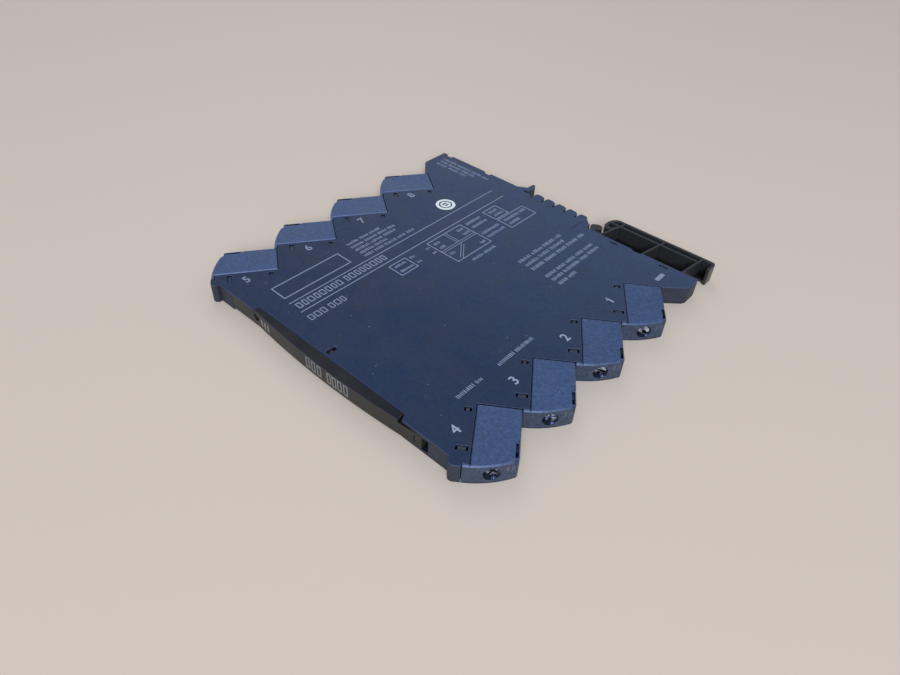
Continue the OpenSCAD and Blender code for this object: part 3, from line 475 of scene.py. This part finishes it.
for name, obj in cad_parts.items():
    kind = kind_of(name)
    obj.data.materials.clear()
    obj.data.materials.append(FINISH[kind])
    obj.data.polygons.foreach_set("use_smooth", [True] * len(obj.data.polygons))
    if kind in BEVEL_MM:
        soften(obj, BEVEL_MM[kind], dissolve=kind not in KEEP_TRIANGLES)
print("softened", sum(1 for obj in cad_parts.values() if obj.modifiers))

# %% [markdown]
# ## Print and label
# Ink is pressed on the side with a soft pad, and a paper label sticks beside it. Print could be an image,
# but a thin solid keeps its edge at any distance and needs no picture. So each stroke is a closed prism that
# stands two hundredths of a millimetre proud. The print is generic: large letters are plain boxes, small
# text is rows of plain strokes, and round them are rules and frames.

# %% Inks and papers
# Thin pad ink lets the dark plastic through, so it looks a pale grey-blue.
pad_ink = even_finish("pale pad-printing ink", "#8f9cb8", "#818eac", 0.55, 0.4)
# The numbers of the near row are printed thicker and whiter.
number_ink = even_finish("white pad-printing ink", "#a3b0cb", "#95a3c0", 0.55, 0.4)
# Coated paper: the brightest thing on the unit.
label_paper = even_finish("white coated label", "#eef8fc", "#e0eef6", 0.4, 0.8)
# Toner on it: a soft blue-grey.
label_ink = even_finish("grey print on the label", "#46606c", "#3c5560", 0.5, 0.5)
# Worn ink on the warm cover: a neutral grey.
cover_ink = even_finish("pale ink on the cover", "#7d7e80", "#707174", 0.5, 0.4)
# Raised digits, painted paler than the block round them as a highlight.
pale_painted_mark = even_finish("moulded numbers painted pale as a highlight", "#5c6479", "#4e566a", 0.5, 0.3)
print("inks", [m.name for m in (pad_ink, number_ink, label_paper, label_ink, cover_ink, pale_painted_mark)])

# %% Closed flat shapes
UPPER_MM = 6.0
INK_MM = 0.02


def prism(flat, corners, low, high):
    """Adds one closed prism over the flat corners, which run anticlockwise."""
    lower = [flat.verts.new((x * MM, y * MM, low * MM)) for x, y in corners]
    upper = [flat.verts.new((x * MM, y * MM, high * MM)) for x, y in corners]
    flat.faces.new(reversed(lower))
    flat.faces.new(upper)
    for i in range(len(corners)):
        j = (i + 1) % len(corners)
        flat.faces.new((lower[i], lower[j], upper[j], upper[i]))


def finish_piece(name, shape, material, body="housing"):
    """Turns a shape into an object that rides on a body."""
    mesh = bpy.data.meshes.new(name)
    shape.to_mesh(mesh)
    shape.free()
    mesh.materials.append(material)
    piece = bpy.data.objects.new(name, mesh)
    scene.collection.objects.link(piece)
    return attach(piece, body)


def ink_shape(flat, corners):
    prism(flat, corners, UPPER_MM - INK_MM, UPPER_MM + INK_MM)


def ink_rect(flat, x0, y0, x1, y1):
    ink_shape(flat, [(x0, y0), (x1, y0), (x1, y1), (x0, y1)])


def ink_frame(flat, x0, y0, x1, y1, stroke=0.3):
    ink_rect(flat, x0, y0, x1, y0 + stroke)
    ink_rect(flat, x0, y1 - stroke, x1, y1)
    ink_rect(flat, x0, y0 + stroke, x0 + stroke, y1 - stroke)
    ink_rect(flat, x1 - stroke, y0 + stroke, x1, y1 - stroke)


print("ink stands", INK_MM, "mm proud")

# %% [markdown]
# ### Stand-ins for text
# Text seen from half a metre is a texture: words of uneven length, made of strokes of uneven width, some of
# them shorter. Chance gives that, with a fixed seed, so that each run prints the same. All sizes are shares
# of the row's height, so one function fills rows of every size, and a pair of shares is a range.

# %% Rows of strokes and rows of boxes
dice = random.Random(7)
WORD_LENGTH, WORD_GAP = (2.2, 5.4), 0.45
SHORTEST_WORD, EMPTY_REST = 1.2, 0.6
STROKE_WIDTH, STROKE_GAP = (0.13, 0.3), (0.2, 0.32)
ROW_MARGIN = 0.06
SHORT_BY = (0, 0, 0.22)
BOX_WIDTH, BOX_GAP, BOX_WORD_GAP = (0.52, 0.76), 0.24, 0.35


def word_rows(flat, x0, x1, y0, y1, along_x=False):
    """Fills a row of small text with upright strokes, in words. The row runs along Y, or along X."""
    side0, side1, at, end = (y0, y1, x0, x1) if along_x else (x0, x1, y0, y1)
    thick = side1 - side0
    low, high = side0 + ROW_MARGIN * thick, side1 - ROW_MARGIN * thick
    while at < end - EMPTY_REST * thick:
        stop = min(at + dice.uniform(*WORD_LENGTH) * thick, end)
        if end - stop < SHORTEST_WORD * thick:
            stop = end
        while at < stop:
            stroke = dice.uniform(*STROKE_WIDTH) * thick
            drop = dice.choice(SHORT_BY) * (high - low)
            if along_x:
                ink_rect(flat, at, low, at + stroke, high - drop)
            else:
                ink_rect(flat, low + drop, at, high, at + stroke)
            at += stroke + dice.uniform(*STROKE_GAP) * thick
        at += WORD_GAP * thick


def letter_boxes(flat, x0, x1, y0, y1, words, stroke):
    """Fills a row of large letters along Y with one plain box for each letter."""
    tall = x1 - x0
    at = y0
    for count in words:
        for _ in range(count):
            wide = dice.uniform(*BOX_WIDTH) * tall
            ink_frame(flat, x0, at, x1, min(at + wide, y1), stroke)
            at += wide + BOX_GAP * tall
        at += BOX_WORD_GAP * tall


print("words are", WORD_LENGTH, "row heights long")

# %% [markdown]
# ### The printed side
# The rows read along Y, from the front to the rail, apart from three rows at the far corner. Places are in
# millimetres on the upper side. They could hang on one another in a layout, but real print is placed by its
# artwork alone, so each row simply has its two edges across and its two ends along.

# %% Large rows and small text
print_shape = bmesh.new()
letter_boxes(print_shape, -22.2, -19.7, -46.6, -8.4, (8, 8), 0.32)
letter_boxes(print_shape, -15.8, -13.5, -47.5, -34.0, (3, 4), 0.28)
for x0, end in ((-34.4, -3.2), (-32.3, 1.0), (-30.3, 0.0), (-28.3, -6.0), (-26.3, 4.4)):
    word_rows(print_shape, x0, x0 + 1.3, -17.0, end)
for x0, x1, y1 in ((9.3, 10.8, 35.5), (11.8, 13.3, 33.5), (14.4, 15.9, 41.0), (19.6, 21.0, 38.5),
                   (21.9, 23.3, 38.5), (24.4, 25.8, 22.5)):
    word_rows(print_shape, x0, x1, 14.0, y1)
# Words beside the diagram and its frames, two rows by terminals 2 to 4, then words inside the frames.
for x0, x1, y0, y1 in ((-16.0, -14.6, 18.5, 25.5), (-13.4, -12.0, 18.5, 25.5), (-8.8, -7.4, 18.0, 26.0),
                       (-6.4, -5.0, 18.0, 26.0), (-1.5, -0.2, 5.0, 15.5), (33.1, 34.4, -41.5, -32.0),
                       (33.1, 34.4, -25.5, -11.0), (-15.4, -14.2, -14.8, -10.2), (-12.6, -11.4, -14.8, -10.2),
                       (-15.6, -14.5, -8.0, -6.3), (-12.4, -11.3, -8.0, -6.3), (-15.4, -14.2, -1.2, 0.4),
                       (-12.4, -11.2, -1.2, 0.4), (-15.2, -13.8, 29.2, 33.2), (-12.8, -11.6, 29.2, 33.2),
                       (-8.6, -7.2, 29.2, 39.8), (-6.2, -4.8, 29.2, 34.0), (-15.4, -14.0, 2.4, 4.8),
                       (-12.8, -11.4, 2.4, 4.8), (-15.4, -14.0, 13.4, 15.8), (-12.8, -11.4, 13.4, 15.8),
                       (-8.4, -7.0, 2.2, 4.0), (-5.8, -4.4, 13.8, 15.8)):
    word_rows(print_shape, x0, x1, y0, y1)
for y0, x1 in ((46.0, -29.0), (44.0, -34.5), (42.0, -36.5)):
    word_rows(print_shape, -50.5, x1, y0, y0 + 1.3, along_x=True)
print("faces of text", len(print_shape.faces))

# %% Rules, empty frames and the diagram
DIAGRAM = (-16.8, 1.0, -3.2, 17.0)
TERMINAL_FRAMES = ((-16.4, 27.8, -10.2, 34.5), (-9.8, 27.8, -3.4, 41.0), (-16.4, -16.0, -10.3, -9.0))
MARK_CUT = 0.15


def ink_slant(flat, start, end, width):
    """A straight line of ink between two points."""
    a, b = Vector(start), Vector(end)
    along = b - a
    side = Vector((-along.y, along.x)).normalized() * width / 2
    ink_shape(flat, [a - side, b - side, b + side, a + side])


# The small solid mark by the foot has cut corners.
ink_shape(print_shape, [(44.3 + MARK_CUT, 36.2), (45.7 - MARK_CUT, 36.2), (45.7, 36.2 + MARK_CUT),
                        (45.7, 40.4 - MARK_CUT), (45.7 - MARK_CUT, 40.4), (44.3 + MARK_CUT, 40.4),
                        (44.3, 40.4 - MARK_CUT), (44.3, 36.2 + MARK_CUT)])
ink_frame(print_shape, -32.4, -47.0, -26.0, -22.0, 0.35)
for x in (-23.35, -18.25):
    ink_rect(print_shape, x - 0.15, -47.5, x + 0.15, 41.5)
for corners in (DIAGRAM, *TERMINAL_FRAMES):
    ink_frame(print_shape, *corners)
# Double lines part the diagram into its three circuits, and two slanted ones cross the lower field.
for x in (-10.5, -9.6):
    ink_rect(print_shape, x - 0.1, 1.3, x + 0.1, 16.7)
for y in (8.7, 9.6):
    ink_rect(print_shape, -16.5, y - 0.1, -10.6, y + 0.1)
for x in (-9.5, -8.4):
    ink_slant(print_shape, (x, 9.4), (x + 5.1, 3.2), 0.2)
finish_piece("printed_rows", print_shape, pad_ink)
print("frames", 2 + len(TERMINAL_FRAMES))

# %% [markdown]
# ### Terminal numbers
# The terminals are numbered 1 to 8, which is generic, so these digits are real. Drawing them point by point
# is slow and looks uneven. Blender's own font gives clean outlines; the text is turned into a thin solid
# mesh, and doubled corners are merged, so that each digit is a closed body. The printed 1 has a longer flag
# than the font's.

# %% Digits as closed meshes
OUTLINE_STEPS = 4
STROKE_GROWS = 0.012


def digit_mesh(text, size_mm, thick_mm):
    curve = bpy.data.curves.new("digit " + text, "FONT")
    curve.body = text
    curve.size = size_mm * MM
    curve.extrude = thick_mm * MM
    curve.align_x = "CENTER"
    curve.align_y = "CENTER"
    curve.resolution_u = OUTLINE_STEPS
    curve.offset = STROKE_GROWS * size_mm * MM
    holder = bpy.data.objects.new("digit " + text, curve)
    scene.collection.objects.link(holder)
    bpy.context.view_layer.update()
    mesh = bpy.data.meshes.new_from_object(holder.evaluated_get(bpy.context.evaluated_depsgraph_get()))
    bpy.data.objects.remove(holder)
    bpy.data.curves.remove(curve)
    shape = bmesh.new()
    shape.from_mesh(mesh)
    bmesh.ops.remove_doubles(shape, verts=shape.verts, dist=0.001 * MM)
    bpy.data.meshes.remove(mesh)
    return shape


def place_shape(shape, across, up, origin):
    """Turns a flat shape so that its own X runs along across and its Y along up, around the origin."""
    across, up = Vector(across).normalized(), Vector(up).normalized()
    turn = Matrix((across, up, across.cross(up))).transposed().to_4x4()
    bmesh.ops.transform(shape, matrix=Matrix.Translation(Vector(origin) * MM) @ turn, verts=shape.verts)


print("curves of the digits have", OUTLINE_STEPS, "steps")

# %% Numbers beside the terminals
NUMBER_MM = 4.1
NUMBER_PLACES = {
    5: (-40.8, -49.1), 6: (-40.8, -26.4), 7: (-40.8, -4.3), 8: (-40.8, 18.8),
    4: (40.2, -49.3), 3: (40.2, -27.1), 2: (40.2, -4.6), 1: (40.2, 17.9),
}
FLAG_OF_ONE = [(-0.85, 0.75), (-0.7, 0.5), (0.1, 1.1), (0.1, 1.4)]
TO_THE_RAIL, TO_THE_LEFT = (0, 1, 0), (-1, 0, 0)

for number, (x, y) in NUMBER_PLACES.items():
    shape = digit_mesh(str(number), NUMBER_MM, INK_MM)
    if number == 1:
        prism(shape, FLAG_OF_ONE, -INK_MM, INK_MM)
    place_shape(shape, TO_THE_RAIL, TO_THE_LEFT, (x, y, UPPER_MM))
    finish_piece(f"number_{number}", shape, number_ink if x > 0 else pad_ink)
print("numbers", sorted(NUMBER_PLACES))

# %% [markdown]
# ### The round label
# A small white label sticks on the side and carries a plain ring with two bars. A scaled cylinder would do
# for the paper, but the ring needs a hole, so one function makes both from circles of points, as closed
# meshes.


# %% Round label
def circle_points(flat, centre, radius, z, sides=48):
    turns = [math.tau * i / sides for i in range(sides)]
    return [flat.verts.new(((centre[0] + radius * math.cos(turn)) * MM,
                            (centre[1] + radius * math.sin(turn)) * MM, z * MM)) for turn in turns]


def ring(flat, centre, inner, outer, low, high):
    """Adds a closed flat ring, or a disc where inner is 0."""
    lower, upper = circle_points(flat, centre, outer, low), circle_points(flat, centre, outer, high)
    walls = [(lower, upper)]
    if inner:
        hole_low, hole_up = circle_points(flat, centre, inner, low), circle_points(flat, centre, inner, high)
        walls += [(upper, hole_up), (hole_up, hole_low), (hole_low, lower)]
    else:
        flat.faces.new(reversed(lower))
        flat.faces.new(upper)
    for a, b in walls:
        for i in range(len(a)):
            j = (i + 1) % len(a)
            flat.faces.new((a[i], a[j], b[j], b[i]))


LABEL_AT = (-28.4, 22.8)
LABEL_R, RING_R = 3.35, (1.8, 2.35)
LABEL_TOP_MM = UPPER_MM + 0.05
TONER_MM = 0.01
LABEL_BARS = ((-0.9, -1.0, -0.2, 1.0), (0.2, -0.7, 0.8, 0.9))

paper = bmesh.new()
ring(paper, LABEL_AT, 0, LABEL_R, UPPER_MM - INK_MM, LABEL_TOP_MM)
finish_piece("round_label", paper, label_paper)
mark = bmesh.new()
ring(mark, LABEL_AT, *RING_R, LABEL_TOP_MM - TONER_MM, LABEL_TOP_MM + TONER_MM)
for x0, y0, x1, y1 in LABEL_BARS:
    corners = ((x0, y0), (x1, y0), (x1, y1), (x0, y1))
    prism(mark, [(LABEL_AT[0] + x, LABEL_AT[1] + y) for x, y in corners], LABEL_TOP_MM - TONER_MM,
          LABEL_TOP_MM + TONER_MM)
finish_piece("label_ring", mark, label_ink)
print("label", LABEL_AT, "radius", LABEL_R)

# %% [markdown]
# ### Marks on the cover
# The cover carries a row of plain boxes and three bars. Its front is a shallow arc. Print could be
# projected on it with a shrinkwrap, but each stroke is so narrow that a straight bar between two points of
# the arc follows it well enough.

# %% Marks on the cover
FRONT_Y = -57.5
ARC_X, ARC_HALF, ARC_BULGE = 4.0, 30.2, 1.6
ARC_R = ARC_HALF ** 2 / (2 * ARC_BULGE) + ARC_BULGE / 2
BOX_X, BOX_W, BOX_Z = (-4.4, -2.1, 0.2, 4.0, 6.0, 8.0, 10.2), 1.6, (1.9, 5.5)
UPRIGHT_W, LEVEL_H = 0.4, 0.45
BAR_X, BAR_W, BAR_Z = (-25.2, -23.6, -22.0), 0.8, (2.2, 4.6)


def arc_y(x, proud):
    return FRONT_Y + ARC_R - math.sqrt((ARC_R + proud) ** 2 - (x - ARC_X) ** 2)


def cover_bar(flat, x0, x1, z0, z1):
    """Adds one closed bar that lies half in the cover's front."""
    corners = ((-INK_MM, z0), (INK_MM, z0), (INK_MM, z1), (-INK_MM, z1))
    a, b = ([flat.verts.new((x * MM, arc_y(x, proud) * MM, z * MM)) for proud, z in corners]
            for x in (x0, x1))
    for i in range(4):
        j = (i + 1) % 4
        flat.faces.new((a[i], a[j], b[j], b[i]))
    flat.faces.new(reversed(a))
    flat.faces.new(b)


marks = bmesh.new()
for x in BOX_X:
    for x0 in (x, x + BOX_W - UPRIGHT_W):
        cover_bar(marks, x0, x0 + UPRIGHT_W, *BOX_Z)
    for z0 in (BOX_Z[0], BOX_Z[1] - LEVEL_H):
        cover_bar(marks, x + UPRIGHT_W, x + BOX_W - UPRIGHT_W, z0, z0 + LEVEL_H)
for x in BAR_X:
    cover_bar(marks, x, x + BAR_W, *BAR_Z)
bmesh.ops.recalc_face_normals(marks, faces=marks.faces)
finish_piece("cover_marks", marks, cover_ink)
print("boxes on the cover", len(BOX_X))

# %% [markdown]
# ## Details of the terminals
# Everything on a block lies along the block's own slanted directions. Each detail could be made once and
# turned into place as an object. But the plastics' masks ask where a surface lies on the whole unit, so each
# mesh keeps the unit's own coordinates. One function turns a place on a block into a place on the unit: u
# runs across the screw face, v out towards it and z up, and all eight blocks share it.

# %% Places on a terminal block
ROWS = range(1, 9)
PITCH, SLANT, ROW_START = 22.5, math.radians(35), 17.9
BLOCK_L = PITCH * math.cos(SLANT) - 0.2
FACE_R, FACE_OFF = 26.0, 2.0
FACE_C = BLOCK_L + 0.75 - math.sqrt(FACE_R ** 2 - FACE_OFF ** 2)
ROW_X, ROW_Y = 38.668, FRONT_Y + ROW_START
UPWARD = Vector((0, 0, 1))


def row_and_side(number):
    """Steps from the front, and the side: 1 for terminals 1 to 4, which are on the right, or -1."""
    return (4 - number, 1) if number <= 4 else (number - 5, -1)


def on_block(number, u, v, z):
    """A place in millimetres on the block of a terminal."""
    step, side = row_and_side(number)
    x = ROW_X + u * math.cos(SLANT) + v * math.sin(SLANT)
    y = ROW_Y + step * PITCH + u * math.sin(SLANT) - v * math.cos(SLANT)
    return Vector((side * x, y, z))


def face_v(u):
    """How far the rounded screw face stands out at u."""
    return FACE_C + math.sqrt(FACE_R ** 2 - (u + FACE_OFF) ** 2)


def along_face(number, u):
    """The direction in which print on the screw face reads at u."""
    side = row_and_side(number)[1]
    turned = SLANT + math.asin((u + FACE_OFF) / FACE_R)
    return UPWARD.cross(Vector((side * math.sin(turned), -math.cos(turned), 0)))


print("screw face of terminal 4 at", [round(c, 2) for c in on_block(4, 5.0, face_v(5.0), 3.05)])

# %% [markdown]
# ### Marks on the screw faces
# Each rounded screw face has its number and two short bars moulded beside the well. They could be cut into
# the block, but they are only three hundredths of a millimetre high, so they are separate thin meshes that
# lie on the face, each turned to where the face looks at that place.

# %% Marks on the screw faces
MARK_U, MARK_Z, MARK_MM, MARK_HIGH = 8.5, 4.1, 2.1, 0.03
TICK_U, TICK_HALF_W, TICK_HALF_H = (9.5, 10.0), 0.11, 0.7


def join_into(shape, other):
    """Adds the other shape's faces to a shape."""
    mesh = bpy.data.meshes.new("joined")
    other.to_mesh(mesh)
    other.free()
    shape.from_mesh(mesh)
    bpy.data.meshes.remove(mesh)


for number in ROWS:
    shape = digit_mesh(str(number), MARK_MM, MARK_HIGH)
    place_shape(shape, along_face(number, MARK_U), UPWARD, on_block(number, MARK_U, face_v(MARK_U), MARK_Z))
    for u in TICK_U:
        tick = bmesh.new()
        prism(tick, [(-TICK_HALF_W, -TICK_HALF_H), (TICK_HALF_W, -TICK_HALF_H), (TICK_HALF_W, TICK_HALF_H),
                     (-TICK_HALF_W, TICK_HALF_H)], -MARK_HIGH, MARK_HIGH)
        place_shape(tick, along_face(number, u), UPWARD, on_block(number, u, face_v(u), MARK_Z))
        join_into(shape, tick)
    finish_piece(f"face_mark_{number}", shape, pale_painted_mark)
print("marks on", len(ROWS), "screw faces")

# %% [markdown]
# ### Lips of the wire entries
# Inside each wire entry a sloping lip guides the wire. It closes the narrow slot above the entry from
# below, so from above the slot looks dark and doesn't show the table. The lip is a four-sided profile drawn
# out along the entry, which is all that a moulded rib is.

# %% Lips inside the wire entries
ENTRY_V = (8.75, 12.75)
LIP = [(9.7, 5.5), (9.7, 4.55), (10.85, 4.15), (10.85, 5.5)]

lips = bmesh.new()
for number in ROWS:
    inner, outer = ([lips.verts.new(on_block(number, u, v, z) * MM) for u, z in LIP] for v in ENTRY_V)
    lips.faces.new(inner)
    lips.faces.new(reversed(outer))
    for i in range(4):
        j = (i + 1) % 4
        lips.faces.new((inner[j], inner[i], outer[i], outer[j]))
bmesh.ops.recalc_face_normals(lips, faces=lips.faces)
finish_piece("entry_lips", lips, block_plastic)
print("lips in", len(ROWS), "wire entries")

# %% [markdown]
# ### Shade collars in the screw wells
# The screw heads of the real unit sit deeper, and the upper part of each well lies in shade. A near-black
# collar just over the screw head stands for that shade, so it is painted shade; it is polished, and its
# lower part throws back a narrow bright crescent. A plain cone would stick out of the rounded face on one
# side, so its upper edge is worked out point by point from the height of the face there.

# %% Shade collars round the screw heads
WELL_U, WELL_Z, WELL_R, HEAD_SINK = 5.0, 3.05, 1.97, 0.87
COLLAR_SIDES, COLLAR_NARROWS, COLLAR_LAND = 32, 0.76, 0.02
BELOW_FACE, ABOVE_MIDDLE = 0.16, 0.1
# Near black as painted shade, and polished: a black mirror with a blue edge to its gloss.
shade_collar_gloss = even_finish("polished polyamide of the screw wells", "#0e1118", "#161b26", 0.16, 0.5,
                           IOR=POLYAMIDE_IOR, Specular_Tint=linear("#9db4ff"))


def collar_profile(u_out):
    """The collar's section, as shares of the well's radius and places along v."""
    top = min(face_v(WELL_U + u_out) - BELOW_FACE, face_v(WELL_U) + ABOVE_MIDDLE)
    base = face_v(WELL_U) - HEAD_SINK
    return (1.0, top), (COLLAR_NARROWS, base + COLLAR_LAND), (COLLAR_NARROWS, base), (1.0, base)


shade_rings = bmesh.new()
for number in ROWS:
    loops = []
    for i in range(COLLAR_SIDES):
        turn = math.tau * i / COLLAR_SIDES
        u_out, z_out = WELL_R * math.cos(turn), WELL_R * math.sin(turn)
        loops.append([shade_rings.verts.new(on_block(number, WELL_U + u_out * k, v, WELL_Z + z_out * k) * MM)
                      for k, v in collar_profile(u_out)])
    for a, b in zip(loops, loops[1:] + loops[:1]):
        for i in range(4):
            j = (i + 1) % 4
            shade_rings.faces.new((a[i], a[j], b[j], b[i]))
bmesh.ops.recalc_face_normals(shade_rings, faces=shade_rings.faces)
finish_piece("well_shade_rings", shade_rings, shade_collar_gloss)
print("collars in", len(ROWS), "screw wells")

# %% [markdown]
# ## Floor
# The object lies on a plain pale surface. A small plane would show its edge in low views, and a curved
# backdrop isn't needed for a thing that is photographed from above, so the floor is one plane, much larger
# than what the camera sees. It lies a hair below the unit, so that no two faces share a plane.

# %% Floor
FLOOR_HALF_M = 3.0
FLOOR_DROP_MM = 0.02
# Matt paint, warm and pale: it takes the soft shadow and mirrors no lamp.
floor_paint = new_material("pale matt floor", "#dfd2c4", 0.6)[0]
floor_mesh = bpy.data.meshes.new("floor")
floor_mesh.from_pydata(
    [(-FLOOR_HALF_M, -FLOOR_HALF_M, 0), (FLOOR_HALF_M, -FLOOR_HALF_M, 0),
     (FLOOR_HALF_M, FLOOR_HALF_M, 0), (-FLOOR_HALF_M, FLOOR_HALF_M, 0)], [], [(0, 1, 2, 3)])
floor_mesh.materials.append(floor_paint)
floor = bpy.data.objects.new("floor", floor_mesh)
floor.location.z = -FLOOR_DROP_MM * MM
scene.collection.objects.link(floor)
print("floor", 2 * FLOOR_HALF_M, "m wide")

# %% [markdown]
# ## Light
# The photograph has soft light from the right front and a pale room round it. A sun lamp would draw hard
# shadows, so the key is a large disc close by, a weaker one at the far left opens the shadows, and an even,
# slightly cool world gives the dark plastic something to mirror. Discs that are large for their distance
# give the soft, close shadow that such a flat thing has.


# %% Lamps and world
def add_lamp(name, place, size, power, colour):
    """Hangs a round lamp at a place in metres, turned to the object."""
    data = bpy.data.lights.new(name, "AREA")
    data.shape = "DISK"
    data.size = size
    data.energy = power
    data.color = linear(colour)[:3]
    lamp = bpy.data.objects.new(name, data)
    lamp.location = place
    lamp.rotation_euler = (-Vector(place)).to_track_quat("-Z", "Y").to_euler()
    scene.collection.objects.link(lamp)


add_lamp("key lamp", (1.2, -1.35, 1.25), size=1.2, power=44.0, colour="#f4f7ff")
add_lamp("fill lamp", (-1.5, 1.3, 1.6), size=1.5, power=6.0, colour="#fffaf2")
world = bpy.data.worlds.new("pale room")
scene.world = world
world.use_nodes = True
world.node_tree.nodes["Background"].inputs["Color"].default_value = linear("#e6eaf2")
world.node_tree.nodes["Background"].inputs["Strength"].default_value = 0.4
scene.view_settings.view_transform = "Standard"
